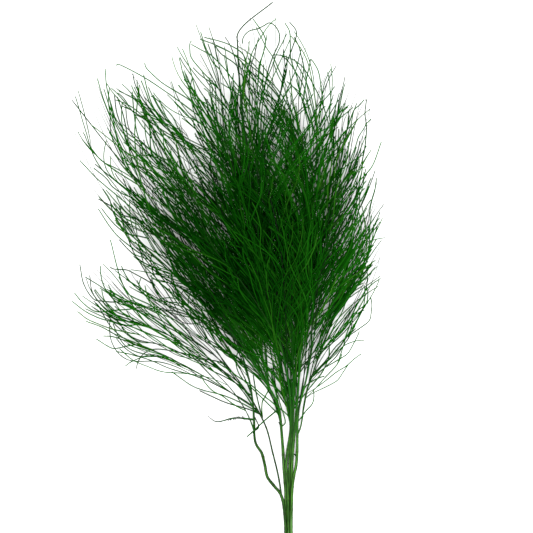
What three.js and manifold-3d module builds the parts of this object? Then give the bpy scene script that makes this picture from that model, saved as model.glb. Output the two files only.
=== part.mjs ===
// A bunch of dried tree-fern, dyed green, lying on a flat surface. Six cut stems lie side by side at
// the foot, in two layers of three, and part into a tall fan of fine arched shoots. Each leafy stem is
// one solid: the stem, its side branches and the threads that grow from them.
// +Y runs from the cut ends to the tips, +X to the right, and +Z up from the surface.
import * as THREE from 'three';
import { mergeVertices } from 'three/addons/utils/BufferGeometryUtils.js';
import Module from 'manifold-3d';

const wasm = await Module();
wasm.setup();

// Sizes in millimetres
const STEM_RADIUS = 1.65;
const STEM_END_RADIUS = 0.6;
const FORK_RADIUS = 1.05;
const FORK_END_RADIUS = 0.5;
const BRANCH_RADIUS = 0.85;
const BRANCH_END_RADIUS = 0.42;
const THREAD_RADIUS = 0.5;
const THREAD_END_RADIUS = 0.3;
const TWIG_RADIUS = 0.7;
const TWIG_END_RADIUS = 0.3;
const CLEAR_GAP = 0.4;
const SLIVER = 0.02;

// How finely each kind of limb is faceted
const STEM_SIDES = 6;
const FORK_SIDES = 6;
const BRANCH_SIDES = 3;
const BRANCH_STEPS = 4;
const LEADER_STEPS = 2;
const TWIG_SIDES = 4;
const THREAD_SIDES = 3;
const THREAD_STEPS = 2;

// The stems' heights at the foot: the lower layer rests on one flat side of each stem
const LOW_LAYER = STEM_RADIUS * Math.cos(Math.PI / STEM_SIDES);
const HIGH_LAYER = LOW_LAYER + 2 * STEM_RADIUS + CLEAR_GAP;

// The head fans out from a foot among the stems. Its outline is given by how far it reaches from
// there, in millimetres, at angles in degrees, with 90 straight up the bunch.
const FAN_FOOT = new THREE.Vector3(2, 134, 0);
const OUTLINE = [
  [30, 40], [48, 120], [60, 228], [70, 333], [77, 446], [85, 476], [90, 527], [93, 552], [97, 537],
  [102, 525], [108, 523], [112, 500], [118, 524], [124, 512], [128, 446], [134, 290], [138, 310],
  [142, 339], [147, 337], [155, 259], [165, 120], [180, 60],
];
const HEAD_LIFT = 58;
const HEAD_HALF_DEPTH = 62;
const FOOT_LIFT = 6;
const LIFTED_BY_SHARE = 0.55;
const DEPTH_PHASE_START = 0.08;
const DEPTH_PHASE_SPAN = 0.78;
const SETTLE = 3;

// How branches and threads grow
const STRAIGHT_UP = 90;
const GOLDEN = 0.61803;
const PLASTIC = 0.75488;
const TRIES = 30;
const STRAIGHT_SHARE = 0.12;
const LAST_BRANCH_AT = 0.98;

// Each stem's route, then the part of the head that it fills: angles from right to left, and depths
// from -1 at the surface to 1 on top.
const STEMS = [
  {
    name: 'stem_far_left',
    route: [
      [-3.7, -20, HIGH_LAYER], [-4.4, 16, HIGH_LAYER], [-8.8, 45.5, 7], [-19, 60, 9], [-27.5, 71.5, 11],
      [-31, 88, 14], [-35, 103, 17], [-42, 114, 20], [-44.5, 126, 23], [-45, 147, 30], [-47, 173, 38],
      [-52, 202, 46], [-63, 238, 54], [-84, 283, 60], [-115, 335, 62], [-152, 391, 62], [-187, 446, 60],
    ],
    first: 0.5, branches: 12, nearest: 0.5, angles: [112, 146], depths: [-0.8, 0.6],
    fork: {
      route: [
        [-8.8, 45.5, 7], [-13.5, 74, 10], [-21, 105, 14], [-29, 136, 18], [-44, 166, 24], [-58, 188, 30],
        [-81, 217, 36], [-115, 244, 42], [-160, 269, 44],
      ],
      first: 0.42, branches: 9, nearest: 0.5, angles: [130, 160], depths: [-0.9, 0.4],
    },
  },
  {
    name: 'stem_left',
    route: [
      [-3.7, -20, LOW_LAYER], [-3.7, 27, LOW_LAYER], [-3.9, 53, 2.5], [-6, 82, 5], [-7.4, 109, 8],
      [-9.5, 136, 13], [-12.5, 161, 19], [-21.5, 182, 26], [-37, 207, 35], [-55, 238, 44],
      [-73.5, 283, 52], [-94, 342, 56], [-115, 407, 56],
    ],
    first: 0.42, branches: 14, nearest: 0.4, angles: [102, 128], depths: [-1, 0.1],
  },
  {
    name: 'stem_centre_left',
    route: [
      [0, -20, HIGH_LAYER], [-0.2, 17, HIGH_LAYER], [-1, 56, 8], [-2.9, 82, 11], [-2.3, 97.5, 13],
      [0.1, 114, 15], [2.6, 131, 19], [3.1, 149.5, 26], [2.2, 173, 36], [-0.8, 199, 46], [-7, 231, 58],
      [-18, 277, 70], [-29, 335, 78], [-41, 394, 82], [-50, 459, 80],
    ],
    first: 0.42, branches: 14, nearest: 0.4, angles: [92, 118], depths: [0, 1],
  },
  {
    name: 'stem_centre',
    route: [
      [0, -20, LOW_LAYER], [0.1, 27, LOW_LAYER], [1, 69, 2.5], [1.7, 95, 5], [2.9, 114, 8], [5, 134, 12],
      [6, 157, 18], [6.2, 186, 26], [6, 218, 36], [4.4, 264, 46], [0.5, 322, 52], [-6, 387, 54],
      [-14, 459, 54],
    ],
    first: 0.42, branches: 14, nearest: 0.4, angles: [84, 104], depths: [-1, 0.2],
  },
  {
    name: 'stem_centre_right',
    route: [
      [3.7, -20, LOW_LAYER], [3.8, 17, LOW_LAYER], [4.3, 49, 4], [4.4, 82, 8], [6.2, 114, 13],
      [8.8, 140, 18], [10.9, 166, 25], [12.9, 192, 33], [14.8, 225, 43], [17.4, 270, 54], [20, 329, 62],
      [21.3, 394, 66], [22.6, 459, 66],
    ],
    first: 0.42, branches: 14, nearest: 0.4, angles: [74, 96], depths: [-0.4, 0.8],
  },
  {
    name: 'stem_right',
    route: [
      [3.7, -20, HIGH_LAYER], [3.9, 23, HIGH_LAYER], [4.7, 53, 8], [6.8, 71.5, 12], [10, 87, 15],
      [11.2, 105, 18], [11.4, 126, 22], [11.7, 147, 27], [14, 165, 33], [18.7, 183, 39], [24, 205, 46],
      [30, 238, 54], [38, 290, 62], [46, 348, 66], [54, 413, 66],
    ],
    first: 0.42, branches: 12, nearest: 0.4, angles: [68, 86], depths: [0, 1],
    fork: {
      route: [
        [11.4, 126, 22], [15.5, 136.5, 24], [18, 149.5, 26], [20, 166, 29], [24, 186, 33],
        [32, 209, 38], [43.5, 240, 44], [59, 283, 48], [74.6, 335, 50],
      ],
      first: 0.3, branches: 11, nearest: 0.5, angles: [56, 76], depths: [-1, 0.5],
    },
  },
];

// Stray twigs out of the flow: a hooked one at the very top, a crooked one low on the left, and a
// thin one that falls back across the stems. Each begins on its stem's own line.
const TWIGS = [
  {
    stem: 'stem_centre_left',
    route: [[-47.5, 441, 80.5], [-61, 560, 74], [-66, 628, 68], [-62, 655, 65], [-21, 689, 62]],
  },
  {
    stem: 'stem_far_left',
    route: [[-45, 147, 30], [-70, 151, 25], [-93, 146, 19], [-110, 161, 16]],
  },
  {
    stem: 'stem_left',
    route: [[-12.5, 161, 19], [-31, 146, 30], [-45, 133, 35], [-54, 125, 35]],
  },
];

const COLOUR = 0x1d4a17;
const material = new THREE.MeshStandardMaterial({ color: COLOUR, roughness: 0.75, metalness: 0 });

const { clamp, degToRad, radToDeg, lerp, smoothstep } = THREE.MathUtils;

// The same keys always draw the same value, from 0 to 1
const HASH_SEED = 0x2545f491;
const KEY_SPREAD = 0x9e3779b1;
const FIRST_STIR = 0x85ebca6b;
const SECOND_STIR = 0xc2b2ae35;
const HALF_WORD = 16;
const ODD_SHIFT = 13;
const WORD_RANGE = 2 ** 32;

function draw(...keys) {
  let hash = HASH_SEED;
  for (const key of keys) {
    hash ^= Math.imul(key, KEY_SPREAD);
    hash ^= hash >>> HALF_WORD;
    hash = Math.imul(hash, FIRST_STIR);
    hash ^= hash >>> ODD_SHIFT;
    hash = Math.imul(hash, SECOND_STIR);
    hash ^= hash >>> HALF_WORD;
  }
  return (hash >>> 0) / WORD_RANGE;
}

// The value of a table of corners at a place between them, or of its end beyond it
function read(table, place) {
  const [firstPlace, firstValue] = table[0];
  const [lastPlace, lastValue] = table[table.length - 1];
  if (place <= firstPlace) return firstValue;
  if (place >= lastPlace) return lastValue;
  const next = table.findIndex(([cornerPlace]) => cornerPlace > place);
  const [lowPlace, lowValue] = table[next - 1];
  const [highPlace, highValue] = table[next];
  return lerp(lowValue, highValue, (place - lowPlace) / (highPlace - lowPlace));
}

// Where things are in the head

const outlineReach = (angle) => read(OUTLINE, angle);

const middleHeight = (share) => lerp(FOOT_LIFT, HEAD_LIFT, smoothstep(share, 0, LIFTED_BY_SHARE));

function halfDepth(share) {
  const phase = DEPTH_PHASE_START + DEPTH_PHASE_SPAN * Math.min(1, share);
  return HEAD_HALF_DEPTH * Math.sin(Math.PI * phase);
}

function placeInHead(angle, share, depth) {
  const reach = outlineReach(angle) * share;
  const turn = degToRad(angle);
  const height = middleHeight(share) + depth * halfDepth(share);
  const level = new THREE.Vector3(reach * Math.cos(turn), reach * Math.sin(turn), height);
  return level.add(FAN_FOOT);
}

const angleInHead = (point) => radToDeg(Math.atan2(point.y - FAN_FOOT.y, point.x - FAN_FOOT.x));
const reachInHead = (point) => Math.hypot(point.x - FAN_FOOT.x, point.y - FAN_FOOT.y);
const shareInHead = (point) => reachInHead(point) / outlineReach(angleInHead(point));

function depthInHead(point) {
  const share = shareInHead(point);
  return (point.z - middleHeight(share)) / halfDepth(share);
}

function setDepth(point, depth) {
  const share = shareInHead(point);
  point.z = middleHeight(share) + depth * halfDepth(share);
}

function direction(angle, rise = 0) {
  const turn = degToRad(angle);
  const climb = degToRad(rise);
  const level = Math.cos(climb);
  return new THREE.Vector3(Math.cos(turn) * level, Math.sin(turn) * level, Math.sin(climb));
}

// Shoots that would dip below the surface lie along it instead, and keep their roots where they are
function settle(points, radius) {
  for (const point of points.slice(1)) {
    point.z = radius + SETTLE * Math.log1p(Math.exp((point.z - radius) / SETTLE));
  }
  return points;
}

// A place along a line of points, and the line's direction there
function along(line, share) {
  const position = share * (line.length - 1);
  const step = Math.min(Math.floor(position), line.length - 2);
  return line[step].clone().lerp(line[step + 1], position - step);
}

function headingAlong(line, share) {
  const position = share * (line.length - 1);
  const before = Math.max(0, Math.ceil(position) - 1);
  const after = Math.min(line.length - 1, Math.floor(position) + 1);
  return line[after].clone().sub(line[before]).normalize();
}

const curve = (start, pull, push, end) => new THREE.CubicBezierCurve3(start, pull, push, end);
const moved = (point, heading, distance) => point.clone().addScaledVector(heading, distance);

// Branches and threads follow one flow, which parts near the middle of the head: left of it they lean
// left, and right of it they lean right. Wide of it they turn upright near the outline.
const PARTING_AT = 92;
const PARTING_WIDTH = 8;
const PARTING_ANGLE = 34;
const PARTED_LEFT = 55;
const PARTED_RIGHT = 40;
const UPRIGHT = 0.4;
const UPRIGHT_FROM = 14;
const UPRIGHT_BEYOND = 30;
const UPRIGHT_SHARE = 0.75;
const FLOW_RIGHT = 48;
const FLOW_LEFT = 152;

function flowAngle(point, shift = 0) {
  const angle = angleInHead(point);
  const share = reachInHead(point) / outlineReach(clamp(angle, FLOW_RIGHT, FLOW_LEFT));
  const shifted = clamp(angle + shift, FLOW_RIGHT, FLOW_LEFT);
  const beside = shifted - PARTING_AT;
  const width = beside > 0 ? PARTED_LEFT : PARTED_RIGHT;
  const fading = Math.max(0, 1 - Math.abs(beside) / width);
  const flow = shifted + PARTING_ANGLE * Math.tanh(beside / PARTING_WIDTH) * fading;
  const isWide = smoothstep(Math.abs(beside), UPRIGHT_FROM, UPRIGHT_BEYOND);
  return lerp(flow, STRAIGHT_UP, UPRIGHT * isWide * smoothstep(share, UPRIGHT_SHARE, 1));
}

// A side branch leaves its stem forwards and ends at its own place in the head, closer to the stem's
// own line for a branch near the stem's tip. Its leading shoot runs on from there to the outline.
const BRANCH_DRAW = { kind: 1, across: 1, upwards: 2, share: 3, turn: 4, sway: 5, reach: 6 };
const SPREAD_ACROSS = 0.05;
const SPREAD_DEPTH = 0.08;
const SPREAD_PER_TRY = 0.07;
const NARROWING = 0.8;
const FARTHEST_BRANCH = 0.56;
const BRANCH_SHARE_POWER = 0.8;
const SHARE_SPREAD = 0.1;
const LEAST_ADVANCE = 0.14;
const LEAVE_TOWARDS_END = 0.8;
const BRANCH_PULL = 0.3;
const BRANCH_PUSH = 0.34;
const SHORTEST_BRANCH = 30;
const LEADER_SHARE = 0.3;
const LEADER_SHARE_RANGE = 0.2;
const LEADER_TURN = 2;
const LEADER_DEPTH = 0.9;
const LEADER_SWAY = 12;
const LEADER_PULL = 0.3;

function growBranch(stem, line, stemKey, number, attempt) {
  const chance = (purpose) => draw(BRANCH_DRAW.kind, stemKey, number, attempt, BRANCH_DRAW[purpose]);
  const swing = (amount, purpose) => amount * (2 * chance(purpose) - 1);
  const order = (number + 0.5) / stem.branches;
  const rootAt = lerp(stem.first, LAST_BRANCH_AT, order);
  const root = along(line, rootAt);
  const retry = SPREAD_PER_TRY * attempt;
  const across = (1 + GOLDEN * (number + 1) + swing(SPREAD_ACROSS + retry, 'across')) % 1;
  const upwards = (1 + PLASTIC * (number + 1) + swing(SPREAD_DEPTH + retry, 'upwards')) % 1;
  const angle = lerp(lerp(...stem.angles, across), angleInHead(root), NARROWING * order * order);
  const depth = lerp(...stem.depths, upwards);
  const rootShare = reachInHead(root) / outlineReach(angle);
  const planned = lerp(stem.nearest, FARTHEST_BRANCH, order ** BRANCH_SHARE_POWER);
  const wanted = planned + swing(SHARE_SPREAD, 'share');
  const share = Math.max(wanted, rootShare + LEAST_ADVANCE);
  const end = placeInHead(angle, share, depth);
  const length = root.distanceTo(end);
  if (length < SHORTEST_BRANCH) return null;
  const aim = end.clone().sub(root).normalize();
  const leave = headingAlong(line, rootAt).addScaledVector(aim, LEAVE_TOWARDS_END).normalize();
  const arrive = direction(flowAngle(end));
  const push = moved(end, arrive, -BRANCH_PUSH * length);
  const branch = curve(root, moved(root, leave, BRANCH_PULL * length), push, end);
  const tipShare = Math.min(1, share + LEADER_SHARE + LEADER_SHARE_RANGE * chance('reach'));
  const tip = placeInHead(angle + swing(LEADER_TURN, 'turn'), tipShare, LEADER_DEPTH * depth);
  const sway = direction(flowAngle(tip) + swing(LEADER_SWAY, 'sway'));
  const pull = LEADER_PULL * end.distanceTo(tip);
  const leader = curve(end, moved(end, arrive, pull), moved(tip, sway, -pull), tip);
  const points = [...branch.getPoints(BRANCH_STEPS), ...leader.getPoints(LEADER_STEPS).slice(1)];
  return settle(points, BRANCH_RADIUS);
}

// Each thread's tip has its place in the head, and the thread runs from there back along the flow to
// the limb that is nearest. So the threads fill the head evenly, out to its ragged outline.
const THREAD_DRAW = {
  kind: 2, angle: 1, depth: 2, ragged: 3, length: 4, side: 5, sway: 6, lean: 7, wave: 8, phase: 9,
};
const THREADS = 1500;
const TIPS_CROWDED = [
  [48, 0], [54, 0.2], [64, 0.35], [72, 0.65], [80, 1], [96, 1.2], [110, 1.1], [120, 0.75],
  [131, 0.15], [140, 0.28], [147, 0.3], [153, 0.12], [160, 0],
];
const INNERMOST_TIPS = [
  [48, 0.8], [62, 0.7], [74, 0.55], [86, 0.3], [96, 0.2], [112, 0.2], [122, 0.4], [134, 0.7],
  [147, 0.72], [160, 0.8],
];
const LONGEST_THREADS = [[56, 110], [72, 150], [90, 190], [106, 220], [118, 220], [130, 180], [150, 200]];
const TIP_ANGLES = 400;
const ANGLE_STIR = 0.02;
const RAGGED_POWER = 0.75;
const FARTHEST_LIMB = 45;
const SHORTEST_THREAD = 75;
const LONGEST_BY_REACH = 0.8;
const SIDE_SHIFT = 7;
const LEAN = 9;
const TIP_SWAY = 22;
const SWAY_FROM = 0.55;
const WAVE_ANGLE = 8;
const WAVES = 1.6;
const TRACED_STEPS = 14;
const ROOT_DEPTH_WEIGHT = 0.6;
const LEAST_FORWARD = 0.35;
const BEND_SHARE = 0.7;
const THREADS_SIDE_BY_SIDE = 3;
const DEPTH_WEIGHT = 0.4;

const tipTable = [];
let crowding = 0;
for (let number = 0; number < TIP_ANGLES; number += 1) {
  const angle = lerp(TIPS_CROWDED[0][0], TIPS_CROWDED.at(-1)[0], number / (TIP_ANGLES - 1));
  crowding += read(TIPS_CROWDED, angle) * outlineReach(angle);
  tipTable.push([crowding, angle]);
}

function nearestRoot(start, heading, roots) {
  let nearest = null;
  let least = Infinity;
  for (const root of roots) {
    if (root.heading.dot(heading) < LEAST_FORWARD) continue;
    const across = (root.point.x - start.x) ** 2 + (root.point.y - start.y) ** 2;
    const apart = across + (ROOT_DEPTH_WEIGHT * (root.point.z - start.z)) ** 2;
    if (apart < least) {
      least = apart;
      nearest = root;
    }
  }
  return nearest;
}

function tracedBack(tip, length, shift, ownTurn) {
  const points = [tip];
  for (let step = TRACED_STEPS - 1; step >= 0; step -= 1) {
    const heading = direction(flowAngle(points[0], shift) + ownTurn(step / (TRACED_STEPS - 1)));
    points.unshift(moved(points[0], heading, -length / TRACED_STEPS));
  }
  return points;
}

function growThread(number, roots) {
  const chance = (purpose) => draw(THREAD_DRAW.kind, number, THREAD_DRAW[purpose]);
  const swing = (amount, purpose) => amount * (2 * chance(purpose) - 1);
  const ownTurn = (order) => {
    const sway = swing(TIP_SWAY, 'sway') * smoothstep(order, SWAY_FROM, 1);
    const wave = Math.sin(2 * Math.PI * (chance('phase') + WAVES * order));
    return swing(LEAN, 'lean') + sway + WAVE_ANGLE * chance('wave') * wave;
  };
  const angle = read(tipTable, crowding * ((number * GOLDEN + ANGLE_STIR * chance('angle')) % 1));
  const share = lerp(1, read(INNERMOST_TIPS, angle), chance('ragged') ** RAGGED_POWER);
  const depth = swing(1, 'depth');
  const tip = placeInHead(angle, share, depth);
  const wanted = lerp(SHORTEST_THREAD, read(LONGEST_THREADS, angle), chance('length'));
  const length = Math.min(wanted, LONGEST_BY_REACH * reachInHead(tip));
  const shift = chance('side') < 0.5 ? SIDE_SHIFT : -SIDE_SHIFT;
  const points = tracedBack(tip, length, shift, ownTurn);
  points.forEach((point) => setDepth(point, depth));
  const start = points[0].clone();
  const root = nearestRoot(start, points[2].clone().sub(start).normalize(), roots);
  if (!root || root.point.distanceTo(start) > FARTHEST_LIMB) return null;
  const rootDepth = depthInHead(root.point);
  points.forEach((point, step) => {
    const bend = 1 - smoothstep(step / TRACED_STEPS, 0, BEND_SHARE);
    point.x += (root.point.x - start.x) * bend;
    point.y += (root.point.y - start.y) * bend;
    setDepth(point, lerp(depth, rootDepth, bend));
  });
  const kept = points.filter((point, step) => step % (TRACED_STEPS / THREAD_STEPS) === 0);
  const prominence = share + DEPTH_WEIGHT * Math.abs(depth);
  return { points: settle(kept, THREAD_RADIUS), parent: root.limb, angle, prominence };
}

// Keeping limbs apart

function limbPieces(points, rootRadius) {
  const pieces = [];
  for (let step = 1; step < points.length; step += 1) {
    const middle = points[step - 1].clone().lerp(points[step], 0.5);
    const half = points[step - 1].distanceTo(points[step]) / 2;
    pieces.push({ start: points[step - 1], end: points[step], middle, half, radius: rootRadius });
  }
  return pieces;
}

const held = (value) => clamp(value, 0, 1);

function distanceBetween(one, other) {
  const first = one.end.clone().sub(one.start);
  const second = other.end.clone().sub(other.start);
  const offset = one.start.clone().sub(other.start);
  const firstSquare = first.dot(first);
  const secondSquare = second.dot(second);
  const mixed = first.dot(second);
  const firstOffset = first.dot(offset);
  const secondOffset = second.dot(offset);
  const spreadOut = firstSquare * secondSquare - mixed * mixed;
  let onFirst = spreadOut > 0 ? held((mixed * secondOffset - firstOffset * secondSquare) / spreadOut) : 0;
  const onSecond = held((mixed * onFirst + secondOffset) / secondSquare);
  onFirst = held((mixed * onSecond - firstOffset) / firstSquare);
  return moved(one.start, first, onFirst).distanceTo(moved(other.start, second, onSecond));
}

function isClear(pieces, others) {
  for (const piece of pieces) {
    for (const other of others) {
      const least = piece.radius + other.radius + CLEAR_GAP;
      const apart = piece.middle.distanceTo(other.middle) - piece.half - other.half;
      if (apart < least && distanceBetween(piece, other) < least) return false;
    }
  }
  return true;
}

// Solids

function limbSolid(points, rootRadius, endRadius, sides, straightShare = 0) {
  const steps = points.length - 1;
  const shape = new THREE.ConeGeometry(1, 1, sides, steps, false, Math.PI / sides);
  shape.translate(0, 0.5, 0);
  shape.deleteAttribute('normal');
  shape.deleteAttribute('uv');
  const corners = shape.getAttribute('position');
  const up = new THREE.Vector3(0, 0, 1);
  for (let index = 0; index < corners.count; index += 1) {
    const share = corners.getY(index);
    const step = Math.round(share * steps);
    const before = points[Math.max(0, step - 1)];
    const after = points[Math.min(steps, step + 1)];
    const heading = after.clone().sub(before).normalize();
    const sideways = heading.clone().cross(up).normalize();
    const lift = sideways.clone().cross(heading);
    const taper = Math.max(0, share - straightShare) / (1 - straightShare);
    const coneRadius = step < steps ? 1 - share : 1;
    const growth = lerp(rootRadius, endRadius, taper) / coneRadius;
    const place = moved(points[step], sideways, corners.getX(index) * growth);
    place.addScaledVector(lift, corners.getZ(index) * growth);
    corners.setXYZ(index, place.x, place.y, place.z);
  }
  const merged = mergeVertices(shape);
  return new wasm.Manifold(new wasm.Mesh({
    numProp: 3,
    vertProperties: merged.getAttribute('position').array,
    triVerts: new Uint32Array(merged.getIndex().array),
  }));
}

function joined(solids) {
  const mesh = wasm.Manifold.union(solids).simplify(SLIVER).getMesh();
  const geometry = new THREE.BufferGeometry();
  geometry.setAttribute('position', new THREE.BufferAttribute(mesh.vertProperties, 3));
  geometry.setIndex(new THREE.BufferAttribute(mesh.triVerts, 1));
  geometry.computeVertexNormals();
  return geometry;
}

// Growing the bunch: first the stems, forks and stray twigs, then the branches, then the threads

const grown = [];
const solids = new Map(STEMS.map((stem) => [stem.name, []]));

function addLimb(name, points, rootRadius, endRadius, sides, straightShare) {
  const limb = { name, points, pieces: limbPieces(points, rootRadius) };
  grown.push(limb);
  solids.get(name).push(limbSolid(points, rootRadius, endRadius, sides, straightShare));
  return limb;
}

// A limb touches its parent only at its root, and no other limb at all
function fits(parent, points, rootRadius) {
  const pieces = limbPieces(points, rootRadius);
  const pastRoot = pieces.slice(1);
  return grown.every((limb) => isClear(limb === parent ? pastRoot : pieces, limb.pieces));
}

const shoots = [];
for (const stem of STEMS) {
  const line = stem.route.map((place) => new THREE.Vector3(...place));
  const limb = addLimb(stem.name, line, STEM_RADIUS, STEM_END_RADIUS, STEM_SIDES, STRAIGHT_SHARE);
  shoots.push({ shoot: stem, limb });
  if (stem.fork) {
    const forkLine = stem.fork.route.map((place) => new THREE.Vector3(...place));
    const fork = addLimb(stem.name, forkLine, FORK_RADIUS, FORK_END_RADIUS, FORK_SIDES);
    shoots.push({ shoot: stem.fork, limb: fork });
  }
}

for (const { stem, route } of TWIGS) {
  const line = route.map((place) => new THREE.Vector3(...place));
  addLimb(stem, line, TWIG_RADIUS, TWIG_END_RADIUS, TWIG_SIDES);
}

const branches = [];
shoots.forEach(({ shoot, limb: parent }, shootKey) => {
  for (let number = 0; number < shoot.branches; number += 1) {
    for (let attempt = 0; attempt < TRIES; attempt += 1) {
      const points = growBranch(shoot, parent.points, shootKey, number, attempt);
      if (points && fits(parent, points, BRANCH_RADIUS)) {
        branches.push(addLimb(parent.name, points, BRANCH_RADIUS, BRANCH_END_RADIUS, BRANCH_SIDES));
        break;
      }
    }
  }
});

// Threads may root along every branch, and along a stem from its first branch up
const ROOT_SPACING = 7;
const LAST_ROOT_AT = 0.95;

function rootsAlong(limb, first) {
  const length = (LAST_ROOT_AT - first) * limb.pieces.reduce((sum, piece) => sum + 2 * piece.half, 0);
  const gaps = Math.max(1, Math.round(length / ROOT_SPACING));
  const roots = [];
  for (let number = 0; number <= gaps; number += 1) {
    const place = lerp(first, LAST_ROOT_AT, number / gaps);
    roots.push({ limb, point: along(limb.points, place), heading: headingAlong(limb.points, place) });
  }
  return roots;
}

const roots = [
  ...shoots.flatMap(({ shoot, limb }) => rootsAlong(limb, shoot.first)),
  ...branches.flatMap((branch) => rootsAlong(branch, 0)),
];

// Of each few threads side by side, the one that stands out farthest is kept, if it stays clear
const threads = [];
for (let number = 0; number < THREADS; number += 1) {
  const thread = growThread(number, roots);
  if (thread) threads.push(thread);
}
threads.sort((one, other) => one.angle - other.angle);
for (let first = 0; first < threads.length; first += THREADS_SIDE_BY_SIDE) {
  const group = threads.slice(first, first + THREADS_SIDE_BY_SIDE);
  group.sort((one, other) => other.prominence - one.prominence);
  const chosen = group.find(({ parent, points }) => fits(parent, points, THREAD_RADIUS));
  if (chosen) addLimb(chosen.parent.name, chosen.points, THREAD_RADIUS, THREAD_END_RADIUS, THREAD_SIDES);
}

// The part, with the middle of its box over the origin

const bunch = new THREE.Group();
for (const [name, limbs] of solids) {
  const mesh = new THREE.Mesh(joined(limbs), material);
  mesh.name = name;
  bunch.add(mesh);
}
const middle = new THREE.Box3().setFromObject(bunch).getCenter(new THREE.Vector3());
bunch.position.set(-middle.x, -middle.y, 0);

export default bunch;
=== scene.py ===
"""A bunch of dried tree-fern, dyed deep green, lying on a pale floor and seen from straight above.

The stems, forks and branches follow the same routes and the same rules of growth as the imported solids.
The threads are finer and many more. Lengths are in millimetres until the meshes are made, in metres.
"""

import math

import bpy
import numpy as np
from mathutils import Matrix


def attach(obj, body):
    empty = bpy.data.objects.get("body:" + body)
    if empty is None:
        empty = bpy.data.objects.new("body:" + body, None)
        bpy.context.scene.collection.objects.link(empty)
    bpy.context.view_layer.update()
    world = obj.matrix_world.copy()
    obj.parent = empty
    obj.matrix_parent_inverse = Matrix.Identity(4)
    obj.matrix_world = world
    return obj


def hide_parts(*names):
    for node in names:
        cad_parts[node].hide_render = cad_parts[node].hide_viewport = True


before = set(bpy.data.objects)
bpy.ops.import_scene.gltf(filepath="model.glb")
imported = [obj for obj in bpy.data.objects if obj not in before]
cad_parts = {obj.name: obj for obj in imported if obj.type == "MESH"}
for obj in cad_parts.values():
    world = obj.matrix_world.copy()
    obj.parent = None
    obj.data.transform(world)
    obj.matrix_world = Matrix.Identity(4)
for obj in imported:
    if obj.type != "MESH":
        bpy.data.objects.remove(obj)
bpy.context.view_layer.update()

MM = 0.001
UP = np.array([0.0, 0.0, 1.0])

# Radii, each at the root and at the tip. The solids' stems are a little thinner than the drawn ones
STEM_RADIUS = 1.65
STEM_RADII = 1.85, 0.45
FORK_RADII = 1.05, 0.4
BRANCH_RADII = 0.85, 0.3
THREAD_RADII = 0.84, 0.7
STRAY_RADII = 0.9, 0.78
INNER_RADII = 0.7, 0.5
SHOOT_RADII = 0.72, 0.56
BRISTLE_RADII = 0.14, 0.06
TWIG_RADII = 1.0, 0.85
CROOKED_RADII = 1.4, 0.45
SPUR_RADII = 0.5, 0.2
STUB_RADII = 1.1, 0.8
CLEAR_GAP = 0.4

# Sides of each tube
STEM_SIDES = 24
BRANCH_SIDES = 8
TWIG_SIDES = 6
THREAD_SIDES = 5
SHOOT_SIDES = 4
INNER_SIDES = 3
BRISTLE_SIDES = 3

# The stems' heights at the foot: two layers of three
STEM_SIDES_OF_SOLID = 6
LOW_LAYER = STEM_RADIUS * math.cos(math.pi / STEM_SIDES_OF_SOLID)
HIGH_LAYER = LOW_LAYER + 2 * STEM_RADIUS + CLEAR_GAP

# The head's outline, as its reach from the fan's foot at angles in degrees, and its depth
FAN_FOOT = np.array([2.0, 134.0])
OUTLINE = np.array([
    (30, 40), (48, 120), (60, 228), (70, 333), (77, 446), (85, 476), (90, 527), (93, 552), (97, 537),
    (102, 525), (108, 523), (112, 500), (118, 524), (124, 512), (128, 446), (134, 290), (138, 310),
    (142, 339), (147, 337), (155, 259), (165, 120), (180, 60),
], float)
HEAD_LIFT = 58
HEAD_HALF_DEPTH = 62
FOOT_LIFT = 6
LIFTED_BY_SHARE = 0.55
DEPTH_PHASE_START = 0.08
DEPTH_PHASE_SPAN = 0.78
SETTLE = 3
SOFT_POWER = 4

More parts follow.
